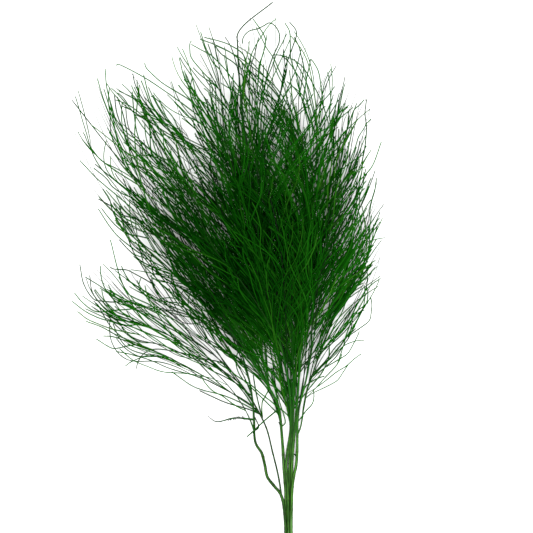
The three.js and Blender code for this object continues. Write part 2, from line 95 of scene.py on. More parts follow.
# Each stem's route, then the part of the head that it fills: angles from right to left, and depths
# from -1 at the surface to 1 on top
STEMS = [
    {
        "name": "stem_far_left",
        "route": [
            (-3.7, -20, HIGH_LAYER), (-4.4, 16, HIGH_LAYER), (-8.8, 45.5, 7), (-19, 60, 9),
            (-27.5, 71.5, 11), (-31, 88, 14), (-35, 103, 17), (-42, 114, 20), (-44.5, 126, 23),
            (-45, 147, 30), (-47, 173, 38), (-52, 202, 46), (-63, 238, 54), (-84, 283, 60),
            (-115, 335, 62), (-152, 391, 62), (-187, 446, 60),
        ],
        "first": 0.5, "branches": 12, "nearest": 0.5, "angles": (112, 146), "depths": (-0.8, 0.6),
        "fork": {
            "route": [
                (-8.8, 45.5, 7), (-13.5, 74, 10), (-21, 105, 14), (-29, 136, 18), (-44, 166, 24),
                (-58, 188, 30), (-81, 217, 36), (-115, 244, 42), (-160, 269, 44),
            ],
            "first": 0.42, "branches": 9, "nearest": 0.5, "angles": (130, 160), "depths": (-0.9, 0.4),
        },
    },
    {
        "name": "stem_left",
        "route": [
            (-3.7, -20, LOW_LAYER), (-3.7, 27, LOW_LAYER), (-3.9, 53, 2.5), (-6, 82, 5),
            (-7.4, 109, 8), (-9.5, 136, 13), (-12.5, 161, 19), (-21.5, 182, 26), (-37, 207, 35),
            (-55, 238, 44), (-73.5, 283, 52), (-94, 342, 56), (-115, 407, 56),
        ],
        "first": 0.42, "branches": 14, "nearest": 0.4, "angles": (102, 128), "depths": (-1, 0.1),
    },
    {
        "name": "stem_centre_left",
        "route": [
            (0, -20, HIGH_LAYER), (-0.2, 17, HIGH_LAYER), (-1, 56, 8), (-2.9, 82, 11),
            (-2.3, 97.5, 13), (0.1, 114, 15), (2.6, 131, 19), (3.1, 149.5, 26), (2.2, 173, 36),
            (-0.8, 199, 46), (-7, 231, 58), (-18, 277, 70), (-29, 335, 78), (-41, 394, 82),
            (-50, 459, 80),
        ],
        "first": 0.42, "branches": 14, "nearest": 0.4, "angles": (92, 118), "depths": (0, 1),
    },
    {
        "name": "stem_centre",
        "route": [
            (0, -20, LOW_LAYER), (0.1, 27, LOW_LAYER), (1, 69, 2.5), (1.7, 95, 5), (2.9, 114, 8),
            (5, 134, 12), (6, 157, 18), (6.2, 186, 26), (6, 218, 36), (4.4, 264, 46),
            (0.5, 322, 52), (-6, 387, 54), (-14, 459, 54),
        ],
        "first": 0.42, "branches": 14, "nearest": 0.4, "angles": (84, 104), "depths": (-1, 0.2),
    },
    {
        "name": "stem_centre_right",
        "route": [
            (3.7, -20, LOW_LAYER), (3.8, 17, LOW_LAYER), (4.3, 49, 4), (4.4, 82, 8), (6.2, 114, 13),
            (8.8, 140, 18), (10.9, 166, 25), (12.9, 192, 33), (14.8, 225, 43), (17.4, 270, 54),
            (20, 329, 62), (21.3, 394, 66), (22.6, 459, 66),
        ],
        "first": 0.42, "branches": 14, "nearest": 0.4, "angles": (74, 96), "depths": (-0.4, 0.8),
    },
    {
        "name": "stem_right",
        "route": [
            (3.7, -20, HIGH_LAYER), (3.9, 23, HIGH_LAYER), (4.7, 53, 8), (6.8, 71.5, 12),
            (10, 87, 15), (11.2, 105, 18), (11.4, 126, 22), (11.7, 147, 27), (14, 165, 33),
            (18.7, 183, 39), (24, 205, 46), (30, 238, 54), (38, 290, 62), (46, 348, 66),
            (54, 413, 66),
        ],
        "first": 0.42, "branches": 12, "nearest": 0.4, "angles": (68, 86), "depths": (0, 1),
        "fork": {
            "route": [
                (11.4, 126, 22), (15.5, 136.5, 24), (18, 149.5, 26), (20, 166, 29), (24, 186, 33),
                (32, 209, 38), (43.5, 240, 44), (59, 283, 48), (74.6, 335, 50),
            ],
            "first": 0.3, "branches": 11, "nearest": 0.5, "angles": (56, 76), "depths": (-1, 0.5),
        },
    },
]

# Stray twigs out of the flow: a hooked one at the very top, a crooked one low on the left, and a thin
# one that falls back across the stems. Each begins on its stem's own line
TWIGS = [
    {
        "stem": "stem_centre_left", "radii": TWIG_RADII,
        "route": [(-47.5, 441, 80.5), (-61, 560, 74), (-66, 628, 68), (-62, 655, 65), (-21, 689, 62)],
    },
    {
        "stem": "stem_far_left", "radii": CROOKED_RADII, "spurs": True,
        "route": [(-45, 147, 30), (-70, 149, 25), (-93, 144, 19), (-105, 151, 16)],
    },
    {
        "stem": "stem_left", "radii": TWIG_RADII,
        "route": [(-12.5, 161, 19), (-31, 146, 30), (-45, 133, 35), (-54, 125, 35)],
    },
]

# Stray threads that can be told one by one: each has its depth in the head, and its route from above
STRAYS = [
    # Arches, a loop and hooks at the top
    (0.5, [(-51, 584), (-63, 607), (-76, 623), (-94, 633), (-115, 641)]),
    (0.6, [(-50, 594), (-58, 620), (-74, 632), (-89, 638), (-109, 643)]),
    (0.7, [
        (-36, 573), (-31, 597), (-24, 616), (-16, 633), (-15, 647), (-20, 657), (-26, 661), (-32, 658),
        (-40, 654), (-49, 652), (-55, 648), (-59, 642), (-60, 635),
    ]),
    (0.4, [(-37, 581), (-34, 611), (-30, 632), (-32, 646), (-46, 667)]),
    (0.5, [(16, 567), (12, 589), (3, 615), (2, 636), (1, 651), (-5, 662)]),
    (0.8, [(-7, 578), (-3, 604), (6, 632), (10, 650), (1, 663)]),
    (0.6, [(11, 558), (16, 585), (23, 607), (27, 614), (34, 608), (40, 593), (45, 552)]),
    (0.5, [(-63, 589), (-78, 605), (-97, 619), (-106, 623), (-126, 634)]),
    (0.3, [(-97, 592), (-111, 605), (-125, 619), (-128, 628), (-128, 636), (-126, 639)]),
    (0.6, [(-94, 594), (-101, 605), (-106, 623), (-110, 637), (-114, 650)]),
    (0.2, [(-78, 605), (-86, 619), (-95, 632)]),
    (0.4, [(-94, 575), (-111, 591), (-124, 604)]),
    # Along the right flank, from the top down
    (0.4, [(49, 513), (58, 523), (65, 537), (71, 550)]),
    (0.2, [(78, 523), (83, 541), (86, 550), (93, 557), (98, 563)]),
    (0.0, [(95, 485), (98, 499), (100, 513), (101, 528), (99, 545), (101, 563)]),
    (0.3, [(92, 456), (100, 465), (110, 480), (120, 508)]),
    (-0.2, [(106, 414), (108, 431), (112, 446), (114, 461)]),
    (0.1, [(92, 335), (98, 347), (103, 360), (106, 373), (111, 386), (115, 399)]),
    (0.2, [(71, 254), (80, 278), (84, 290), (95, 309), (102, 318), (110, 325), (119, 331)]),
    (-0.2, [(76, 253), (84, 268), (97, 293), (101, 300), (103, 312), (101, 320), (103, 330)]),
    # Long single ones at the left
    (0.3, [(-111, 525), (-128, 542), (-162, 571), (-189, 592), (-219, 608), (-223, 606)]),
    (0.1, [(-107, 551), (-128, 566), (-163, 585), (-183, 602), (-187, 610)]),
    (0.0, [(-185, 439), (-217, 479), (-245, 516), (-281, 562)]),
    (-0.2, [(-185, 442), (-217, 464), (-245, 486), (-268, 511)]),
    (-0.1, [(-206, 417), (-243, 454), (-271, 484)]),
    (0.4, [(-171, 420), (-188, 469), (-198, 520), (-195, 572), (-197, 579)]),
    # Upright tufts at the upper left
    (0.3, [(-200, 464), (-211, 491), (-220, 512), (-230, 538), (-240, 563), (-248, 590)]),
    (0.2, [(-200, 476), (-212, 501), (-222, 526), (-230, 555), (-236, 579), (-238, 603)]),
    (0.1, [(-197, 475), (-204, 491), (-211, 507), (-215, 523), (-223, 546), (-226, 568)]),
    (0.4, [(-194, 469), (-201, 486), (-206, 502), (-210, 523), (-215, 545), (-222, 566)]),
    (0.2, [(-185, 464), (-190, 480), (-195, 502), (-198, 523), (-201, 550), (-203, 573)]),
    (0.5, [(-154, 521), (-168, 540), (-179, 556), (-185, 572), (-191, 587)]),
    (0.3, [(-158, 534), (-169, 548), (-178, 561), (-183, 574), (-188, 595)]),
    (0.1, [(-168, 496), (-175, 512), (-181, 529), (-186, 551)]),
    # Tips along the left edge, from the top down
    (0.2, [(-190, 424), (-198, 434), (-209, 444), (-235, 466), (-251, 479)]),
    (-0.1, [(-190, 420), (-202, 432), (-215, 439), (-229, 450), (-237, 461), (-253, 474)]),
    (0.1, [(-194, 412), (-217, 421), (-229, 428), (-234, 437), (-241, 447)]),
    (-0.3, [(-189, 402), (-203, 408), (-216, 413), (-226, 422), (-247, 434)]),
    (0.3, [(-185, 385), (-197, 391), (-209, 399), (-223, 410), (-226, 418)]),
    (-0.2, [(-184, 382), (-195, 385), (-211, 389), (-223, 398), (-234, 410), (-243, 422)]),
    (0.0, [(-185, 364), (-197, 369), (-220, 385), (-232, 398), (-247, 421)]),
    (-0.4, [(-165, 346), (-183, 352), (-195, 357), (-208, 368), (-220, 381)]),
    # Tips of the spray below them
    (0.5, [
        (-165, 288), (-177, 298), (-200, 308), (-209, 314), (-217, 329), (-223, 348), (-230, 377),
        (-232, 381),
    ]),
    (0.3, [(-167, 323), (-181, 330), (-195, 336), (-210, 342), (-226, 343), (-232, 346)]),
    (0.2, [(-177, 303), (-185, 308), (-193, 316), (-194, 323), (-192, 331)]),
    (0.4, [(-205, 292), (-223, 298), (-232, 308), (-239, 320), (-243, 333), (-244, 347)]),
    (0.1, [(-213, 286), (-232, 289), (-244, 296), (-254, 304), (-266, 324), (-271, 349)]),
    (0.3, [(-190, 292), (-205, 296), (-220, 303), (-232, 311), (-243, 320), (-264, 333)]),
    (-0.1, [(-191, 287), (-209, 285), (-224, 286), (-246, 286), (-257, 291), (-269, 301), (-278, 312)]),
    (-0.3, [(-194, 278), (-213, 275), (-230, 277), (-247, 280), (-264, 288), (-281, 301)]),
    (0.0, [(-187, 266), (-209, 268), (-229, 269), (-246, 272), (-261, 278), (-274, 288)]),
    (-0.5, [(-180, 243), (-195, 248), (-224, 258), (-244, 268), (-263, 275)]),
    (-0.6, [(-180, 239), (-199, 244), (-213, 250), (-229, 255), (-241, 256)]),
    (-0.7, [(-178, 238), (-195, 244), (-209, 243), (-223, 240), (-232, 241), (-250, 252)]),
    (-0.4, [(-152, 207), (-165, 218), (-189, 226), (-205, 232), (-224, 236)]),
    # Low ones below the head at the left
    (-0.6, [(-46, 157), (-66, 169), (-88, 179), (-111, 185), (-128, 192), (-152, 209)]),
    (-0.8, [(-45, 150), (-62, 160), (-86, 170), (-116, 184)]),
    (-0.4, [(-48, 160), (-72, 177), (-92, 194), (-118, 222), (-141, 244)]),
    (0.0, [(-10, 152), (-13, 164), (-36, 199), (-64, 222), (-94, 245)]),
    (-0.3, [(-9, 150), (-20, 182), (-46, 214), (-81, 256)]),
    (-0.2, [(-24, 114), (-32, 127), (-39, 140), (-44, 150)]),
    (-0.5, [(-28, 136), (-31, 164), (-30, 177), (-25, 186)]),
    (-0.4, [(-32, 143), (-42, 181), (-46, 204)]),
    # Low ones between the stems
    (0.6, [(-12, 154), (-19, 188), (-29, 213), (-35, 233)]),
    (0.2, [(-10, 164), (-14, 184), (-18, 203), (-21, 223), (-25, 243)]),
    (0.7, [(-4, 159), (-7, 184), (-12, 208), (-16, 223), (-20, 238)]),
    (0.4, [(-2, 179), (-5, 203), (-5, 218), (-3, 233)]),
    (0.8, [(10, 164), (0, 179), (-14, 198), (-28, 217), (-34, 227)]),
    (0.3, [(-9, 137), (-4, 142), (-6, 152), (-10, 164), (-14, 178)]),
    (0.5, [(4, 142), (0, 154), (-2, 161), (-5, 175), (-9, 190)]),
]

# Broken stubs on the stems, each with its stem
STUBS = [
    ("stem_right", [(10.9, 98, 17), (7.5, 102, 19)]),
    ("stem_left", [(-9.6, 138, 14), (-12.5, 143, 16)]),
    ("stem_right", [(4.7, 54, 8), (6.9, 59, 9.5)]),
]


# Small sums


def lerp(low, high, share):
    return low + (high - low) * share


def smoothstep(value, low, high):
    share = np.clip((value - low) / (high - low), 0, 1)
    return share * share * (3 - 2 * share)


def unit(vectors):
    return vectors / np.linalg.norm(vectors, axis=-1, keepdims=True)


HASH_SEED = np.uint32(0x2545F491)
KEY_SPREAD = np.uint32(0x9E3779B1)
FIRST_STIR = np.uint32(0x85EBCA6B)
SECOND_STIR = np.uint32(0xC2B2AE35)
HALF_WORD = np.uint32(16)
ODD_SHIFT = np.uint32(13)
WORD_RANGE = 2.0 ** 32


def draw(*keys):
    """The same keys always draw the same value, from 0 to 1. A key may be an array of keys."""
    mixed = HASH_SEED
    with np.errstate(over="ignore"):
        for key in keys:
            mixed = mixed ^ np.asarray(key, np.uint32) * KEY_SPREAD
            mixed = mixed ^ mixed >> HALF_WORD
            mixed = mixed * FIRST_STIR
            mixed = mixed ^ mixed >> ODD_SHIFT
            mixed = mixed * SECOND_STIR
            mixed = mixed ^ mixed >> HALF_WORD
    return mixed / WORD_RANGE


def drawn_for(purposes, *keys):
    """A function that draws at these keys for a purpose, given by its name."""
    return lambda purpose: draw(*keys, purposes[purpose])


def swing(amount, chance):
    return amount * (2 * chance - 1)


def either_side(chance):
    return np.where(chance < 0.5, 1, -1)


# Where things are in the head


def outline_reach(angle):
    return np.interp(angle, OUTLINE[:, 0], OUTLINE[:, 1])


def middle_height(share):
    return lerp(FOOT_LIFT, HEAD_LIFT, smoothstep(share, 0, LIFTED_BY_SHARE))


def half_depth(share):
    phase = DEPTH_PHASE_START + DEPTH_PHASE_SPAN * np.minimum(1, share)
    return HEAD_HALF_DEPTH * np.sin(np.pi * phase)


def height_in_head(share, depth):
    return middle_height(share) + depth * half_depth(share)


def depth_in_head(share, height):
    return (height - middle_height(share)) / half_depth(share)


def place_in_head(angle, share, depth):
    reach = outline_reach(angle) * share
    turn = np.radians(angle)
    flat = FAN_FOOT[0] + reach * np.cos(turn), FAN_FOOT[1] + reach * np.sin(turn)
    return np.stack([*flat, height_in_head(share, depth)], -1)


def angle_in_head(points):
    return np.degrees(np.arctan2(points[..., 1] - FAN_FOOT[1], points[..., 0] - FAN_FOOT[0]))


def reach_in_head(points):
    return np.hypot(points[..., 0] - FAN_FOOT[0], points[..., 1] - FAN_FOOT[1])


def share_in_head(points):
    """How far out the points are, from 0 at the fan's foot to 1 at the outline."""
    return reach_in_head(points) / outline_reach(angle_in_head(points))


def held_in_head(points):
    """The points with their heights held softly within the depth of the head."""
    share = share_in_head(points)
    depth = depth_in_head(share, points[..., 2])
    held = depth / (1 + depth ** SOFT_POWER) ** (1 / SOFT_POWER)
    return np.concatenate([points[..., :2], height_in_head(share, held)[..., None]], axis=-1)


def direction(angle, rise=0.0):
    turn = np.radians(angle)
    climb = np.radians(rise)
    level = np.cos(climb)
    return np.stack([np.cos(turn) * level, np.sin(turn) * level, np.sin(climb) + 0 * turn], -1)


def settled(height, radius):
    """Shoots that would dip below the surface lie along it instead."""
    return radius + SETTLE * np.log1p(np.exp((height - radius) / SETTLE))


# The threads follow one flow, which parts near the middle of the head: left of it they lean left, and
# right of it they lean right. Wide of it they turn upright near the outline, and towards the far left
# the threads, but not the branches, run flatter before that
STRAIGHT_UP = 90
PARTING_AT = 92
PARTING_WIDTH = 8
PARTING_ANGLE = 34
PARTED_LEFT = 55
PARTED_RIGHT = 40
UPRIGHT = 0.4
UPRIGHT_FROM = 14
UPRIGHT_BEYOND = 30
UPRIGHT_SHARE = 0.75
FLATTER = 15
FLATTER_FROM = 122
FLATTER_BY = 140
FLATTER_BETWEEN = 0.5, 0.8
FLOW_RIGHT = 48
FLOW_LEFT = 152


def flow_angle(points, shift=0.0, flatter=0.0):
    """The heading of the flow at these points, or at points so many degrees to their left."""
    angle = angle_in_head(points)
    share = reach_in_head(points) / outline_reach(np.clip(angle, FLOW_RIGHT, FLOW_LEFT))
    shifted = np.clip(angle + shift, FLOW_RIGHT, FLOW_LEFT)
    beside = shifted - PARTING_AT
    width = np.where(beside > 0, PARTED_LEFT, PARTED_RIGHT)
    parted = PARTING_ANGLE * np.tanh(beside / PARTING_WIDTH) * np.maximum(0, 1 - np.abs(beside) / width)
    wide = smoothstep(shifted, FLATTER_FROM, FLATTER_BY)
    flow = shifted + parted + flatter * wide * smoothstep(share, *FLATTER_BETWEEN)
    upright = smoothstep(share, UPRIGHT_SHARE, 1) * smoothstep(np.abs(beside), UPRIGHT_FROM, UPRIGHT_BEYOND)
    return flow + (STRAIGHT_UP - flow) * UPRIGHT * upright


# Lines of points


def along(line, share):
    position = np.asarray(share) * (len(line) - 1)
    step = np.minimum(position.astype(int), len(line) - 2)
    part = (position - step)[..., None]
    return line[step] * (1 - part) + line[step + 1] * part


def heading_along(line, share):
    position = np.asarray(share) * (len(line) - 1)
    before = np.maximum(0, np.ceil(position).astype(int) - 1)
    after = np.minimum(len(line) - 1, np.floor(position).astype(int) + 1)
    return unit(line[after] - line[before])


def bezier(start, pull, push, end, steps):
    share = np.linspace(0, 1, steps + 1)[:, None]
    rest = 1 - share
    outer = rest ** 3 * start + 3 * rest ** 2 * share * pull
    return outer + 3 * rest * share ** 2 * push + share ** 3 * end


def heading_angle(headings):
    return np.degrees(np.arctan2(headings[:, 1], headings[:, 0]))


def heading_rise(headings):
    return np.degrees(np.arcsin(np.clip(headings[:, 2], -1, 1)))


def smooth_line(points, steps):
    """A smooth line through the points, or each set of points, with so many steps between each two."""
    points = np.asarray(points, float)
    before = 2 * points[..., :1, :] - points[..., 1:2, :]
    after = 2 * points[..., -1:, :] - points[..., -2:-1, :]
    held = np.concatenate([before, points, after], axis=-2)[..., None, :]
    count = points.shape[-2] - 1
    first, near, far, last = (held[..., start:start + count, :, :] for start in range(4))
    share = (np.arange(steps) / steps)[:, None]
    bend = 2 * first - 5 * near + 4 * far - last
    twist = -first + 3 * near - 3 * far + last
    spans = near + share * (far - first) / 2 + share ** 2 * bend / 2 + share ** 3 * twist / 2
    return np.concatenate([spans.reshape(*points.shape[:-2], -1, 3), points[..., -1:, :]], axis=-2)


CURL_FROM = 0.5
CURL_POWER = 1.4
WIGGLES = 3.4


def curled(lines, curl, wiggle, phase):
    """The lines with their ends turned sideways more and more, and with small waves all along."""
    strides = np.diff(lines, axis=1)
    share = np.linspace(0, 1, strides.shape[1])
    turned = curl[:, None] * np.maximum(0, (share - CURL_FROM) / (1 - CURL_FROM)) ** CURL_POWER
    turned = turned + wiggle[:, None] * np.sin(2 * np.pi * (phase[:, None] + WIGGLES * share)) * share
    turn = np.radians(turned)
    across = strides[..., 0] * np.cos(turn) - strides[..., 1] * np.sin(turn)
    forwards = strides[..., 0] * np.sin(turn) + strides[..., 1] * np.cos(turn)
    strides = np.stack([across, forwards, strides[..., 2]], axis=-1)
    return np.concatenate([lines[:, :1], lines[:, :1] + np.cumsum(strides, axis=1)], axis=1)


def resampled(line, spacing):
    """The line with evenly spaced points, and how far these and its own points are from the root."""
    travelled = np.concatenate([[0], np.cumsum(np.linalg.norm(np.diff(line, axis=0), axis=1))])
    places = np.linspace(0, travelled[-1], max(2, int(travelled[-1] / spacing)))
    return np.stack([np.interp(places, travelled, axis) for axis in line.T], -1), places, travelled


# Branches, by the rule that the solids follow
BRANCH_KIND = 1
BRANCH_DRAW = {"across": 1, "upwards": 2, "share": 3, "turn": 4, "sway": 5, "reach": 6}
GOLDEN = 0.61803
PLASTIC = 0.75488
TRIES = 30
LAST_BRANCH_AT = 0.98
SPREAD_ACROSS = 0.05
SPREAD_DEPTH = 0.08
SPREAD_PER_TRY = 0.07
NARROWING = 0.8
FARTHEST_BRANCH = 0.56
BRANCH_SHARE_POWER = 0.8
SHARE_SPREAD = 0.1
LEAST_ADVANCE = 0.14
LEAVE_TOWARDS_END = 0.8
BRANCH_PULL = 0.3
BRANCH_PUSH = 0.34
SHORTEST_BRANCH = 30
LEADER_SHARE = 0.3
LEADER_SHARE_RANGE = 0.2
LEADER_TURN = 2
LEADER_DEPTH = 0.9
LEADER_SWAY = 12
LEADER_PULL = 0.3
STEM_STEPS = 8
FINE = 4
BRANCH_STEPS = 4 * FINE
LEADER_STEPS = 2 * FINE


def grow_branch(shoot, line, fine_line, shoot_key, number, attempt):
    """A branch's fine line and its coarse one, which the solid follows, or None where it is too short."""
    chance = drawn_for(BRANCH_DRAW, BRANCH_KIND, shoot_key, number, attempt)
    order = (number + 0.5) / shoot["branches"]
    root_at = lerp(shoot["first"], LAST_BRANCH_AT, order)
    root = along(line, root_at)
    retry = SPREAD_PER_TRY * attempt
    across = (1 + GOLDEN * (number + 1) + swing(SPREAD_ACROSS + retry, chance("across"))) % 1
    upwards = (1 + PLASTIC * (number + 1) + swing(SPREAD_DEPTH + retry, chance("upwards"))) % 1
    angle = lerp(lerp(*shoot["angles"], across), angle_in_head(root), NARROWING * order * order)
    depth = lerp(*shoot["depths"], upwards)
    root_share = reach_in_head(root) / outline_reach(angle)
    planned = lerp(shoot["nearest"], FARTHEST_BRANCH, order ** BRANCH_SHARE_POWER)
    wanted = planned + swing(SHARE_SPREAD, chance("share"))
    share = max(wanted, root_share + LEAST_ADVANCE)
    end = place_in_head(angle, share, depth)
    length = np.linalg.norm(root - end)
    if length < SHORTEST_BRANCH:
        return None
    aim = unit(end - root)
    leave = unit(heading_along(line, root_at) + LEAVE_TOWARDS_END * aim)
    arrive = direction(flow_angle(end))
    pull = leave * BRANCH_PULL * length
    push = end - arrive * BRANCH_PUSH * length
    tip_share = min(1, share + LEADER_SHARE + LEADER_SHARE_RANGE * chance("reach"))
    tip = place_in_head(angle + swing(LEADER_TURN, chance("turn")), tip_share, LEADER_DEPTH * depth)
    sway = direction(flow_angle(tip) + swing(LEADER_SWAY, chance("sway")))
    reach = LEADER_PULL * np.linalg.norm(tip - end)
    leader = bezier(end, end + arrive * reach, tip - sway * reach, tip, LEADER_STEPS)[1:]
    fine_root = along(fine_line, root_at)
    lines = []
    for start in (fine_root, root):
        line_points = np.vstack([bezier(start, start + pull, push, end, BRANCH_STEPS), leader])
        line_points[1:, 2] = settled(line_points[1:, 2], BRANCH_RADII[0])
        lines.append(line_points)
    return lines[0], lines[1][::FINE]


# Keeping branches apart, as the solids are


def pieces_of(line, radius):
    start, end = line[:-1], line[1:]
    half = np.linalg.norm(end - start, axis=1) / 2
    return {"start": start, "end": end, "middle": (start + end) / 2, "half": half, "radius": radius}


def distance_between(start, end, other_start, other_end):
    first, second, offset = end - start, other_end - other_start, start - other_start
    first_square, second_square, mixed = first @ first, second @ second, first @ second
    first_offset, second_offset = first @ offset, second @ offset
    spread = first_square * second_square - mixed * mixed
    on_first = (mixed * second_offset - first_offset * second_square) / spread if spread > 0 else 0
    on_first = min(1, max(0, on_first))
    on_second = min(1, max(0, (mixed * on_first + second_offset) / second_square))
    on_first = min(1, max(0, (mixed * on_second - first_offset) / first_square))
    return np.linalg.norm(offset + first * on_first - second * on_second)


def is_clear(pieces, others, skipped):
    least = pieces["radius"] + others["radius"] + CLEAR_GAP
    apart = np.linalg.norm(pieces["middle"][skipped:, None] - others["middle"][None], axis=2)
    apart -= pieces["half"][skipped:, None] + others["half"][None]
    for one, other in np.argwhere(apart < least):
        ends = pieces["start"][skipped + one], pieces["end"][skipped + one]
        if distance_between(*ends, others["start"][other], others["end"][other]) < least:
            return False
    return True


def fits(line, radius, grown, parent):
    pieces = pieces_of(line, radius)
    return all(is_clear(pieces, limb, 1 if number == parent else 0) for number, limb in enumerate(grown))


# Threads: each tip has its place in the head, and its thread runs from there back along the flow to
# the limb that is nearest, so the threads fill the head evenly out to its ragged outline. A second,
# thinner set lies deeper inside, and a third, small one low between the stems and the head. The tables
# give values at angles in the head
THREAD_DRAW = {
    "angle": 1, "depth": 2, "ragged": 3, "length": 4, "side": 5, "sway": 6, "lean": 7, "wave": 8,
    "phase": 9, "tone": 10, "curl": 11, "hook": 12, "wiggle": 13,
}
THREAD_RULE = {
    "kind": 2, "count": 1290, "shortest": 75,
    "power": [(100, 0.78), (110, 0.68), (120, 0.68), (128, 0.78)],
    "crowded": [
        (48, 0.0), (53, 0.08), (57, 0.12), (62, 0.24), (66, 0.42), (72, 0.66), (80, 0.8), (90, 0.98),
        (96, 1.02), (102, 1.0), (110, 1.0), (116, 0.8), (122, 0.53), (128, 0.42), (132, 0.28), (136, 0.08),
        (141, 0.1), (147, 0.17), (153, 0.1), (160, 0.0),
    ],
    "innermost": [
        (48, 0.8), (62, 0.7), (74, 0.55), (86, 0.3), (96, 0.2), (112, 0.2), (122, 0.3), (130, 0.38),
        (136, 0.65), (143, 0.8), (150, 0.85), (160, 0.85),
    ],
    "longest": [(56, 110), (72, 150), (90, 190), (106, 220), (118, 220), (130, 180), (150, 200)],
    "nearest": [(56, 100), (80, 190), (98, 200), (112, 190), (124, 170), (132, 110)],
}
INNER_RULE = {
    "kind": 7, "count": 880, "shortest": 60,
    "power": [(90, 0.8)],
    "crowded": [
        (66, 0.0), (74, 0.2), (84, 0.6), (98, 0.85), (107, 1.15), (114, 1.0), (120, 0.55), (128, 0.0),
    ],
    "outermost": 0.76,
    "innermost": [(60, 0.5), (80, 0.25), (112, 0.2), (130, 0.25)],
    "longest": [(60, 110), (90, 160), (120, 180)],
    "nearest": [(66, 130), (84, 190), (98, 180), (112, 170), (124, 160), (130, 120)],
}
LOW_RULE = {
    "kind": 8, "count": 66, "shortest": 60,
    "power": [(90, 0.9)],
    "crowded": [
        (54, 0.0), (62, 0.5), (72, 0.2), (84, 0.1), (92, 0.5), (100, 1.7), (106, 1.7), (112, 0.7),
        (131, 0.25), (150, 0.35), (158, 0.0),
    ],
    "outermost": 0.5,
    "innermost": [(54, 0.3), (70, 0.2), (90, 0.15), (125, 0.12), (131, 0.2), (140, 0.35), (158, 0.4)],
    "longest": [(54, 120), (84, 150), (104, 150), (158, 120)],
    "nearest": [(104, 60)], "longest_by_reach": 0.9,
}
FARTHEST_LIMB = 45
MOST_PER_ROOT = 5
LONGEST_BY_REACH = 0.59
TIP_ANGLES = 400
ANGLE_STIR = 0.02
SIDE_SHIFT = 7
LEAN = 9
TIP_SWAY = 22
SWAY_FROM = 0.55
WAVE_ANGLE = 8
WAVES = 1.6
THREAD_STEPS = 14
ROOT_DEPTH_WEIGHT = 0.6
BACKWARDS = 1e4
LEAST_FORWARD = 0.35
BEND_SHARE = 0.7
FINER = 2
CURL = 28
CURL_UPRIGHT = 0.25
UNHOOKED = 0.86
HOOK = 2.4
WIGGLE = 9


def read(table, place):
    """The value of a table of corners at a place between them."""
    corners = np.array(table, float)
    return np.interp(place, corners[:, 0], corners[:, 1])


def tip_angles(crowded, drawn):
    """Angles in the head for these values from 0 to 1, crowded as the tips are."""
    angles = np.linspace(crowded[0][0], crowded[-1][0], TIP_ANGLES)
    sums = np.cumsum(read(crowded, angles) * outline_reach(angles))
    return np.interp(drawn * sums[-1], sums, angles)


def traced_back(tips, length, shift, turned):
    """Lines that end at the tips and follow the flow, with a turn of their own at each step."""
    points = [tips]
    stride = (length / THREAD_STEPS)[:, None]
    for step in range(THREAD_STEPS):
        heading = direction(flow_angle(points[0], shift, FLATTER) + turned[:, -1 - step])
        points.insert(0, points[0] - heading * stride)
    return np.stack(points, axis=1)


def nearest_root(starts, headings, roots):
    """For each thread the root nearest to its start, on a limb that doesn't lie crosswise to it."""
    scale = np.array([1, 1, ROOT_DEPTH_WEIGHT])
    wanted, offered = starts * scale, roots["near"] * scale
    apart = (wanted ** 2).sum(1)[:, None] + (offered ** 2).sum(1)[None] - 2 * wanted @ offered.T
    apart[headings @ roots["headings"].T < LEAST_FORWARD] += BACKWARDS
    return apart.argmin(axis=1)


def place_in_group(groups):
    """The place of each entry among those of its own group, counted from 0."""
    order = np.argsort(groups, kind="stable")
    ordered = groups[order]
    first = np.searchsorted(ordered, ordered)
    place = np.empty(len(groups), int)
    place[order] = np.arange(len(groups)) - first
    return place


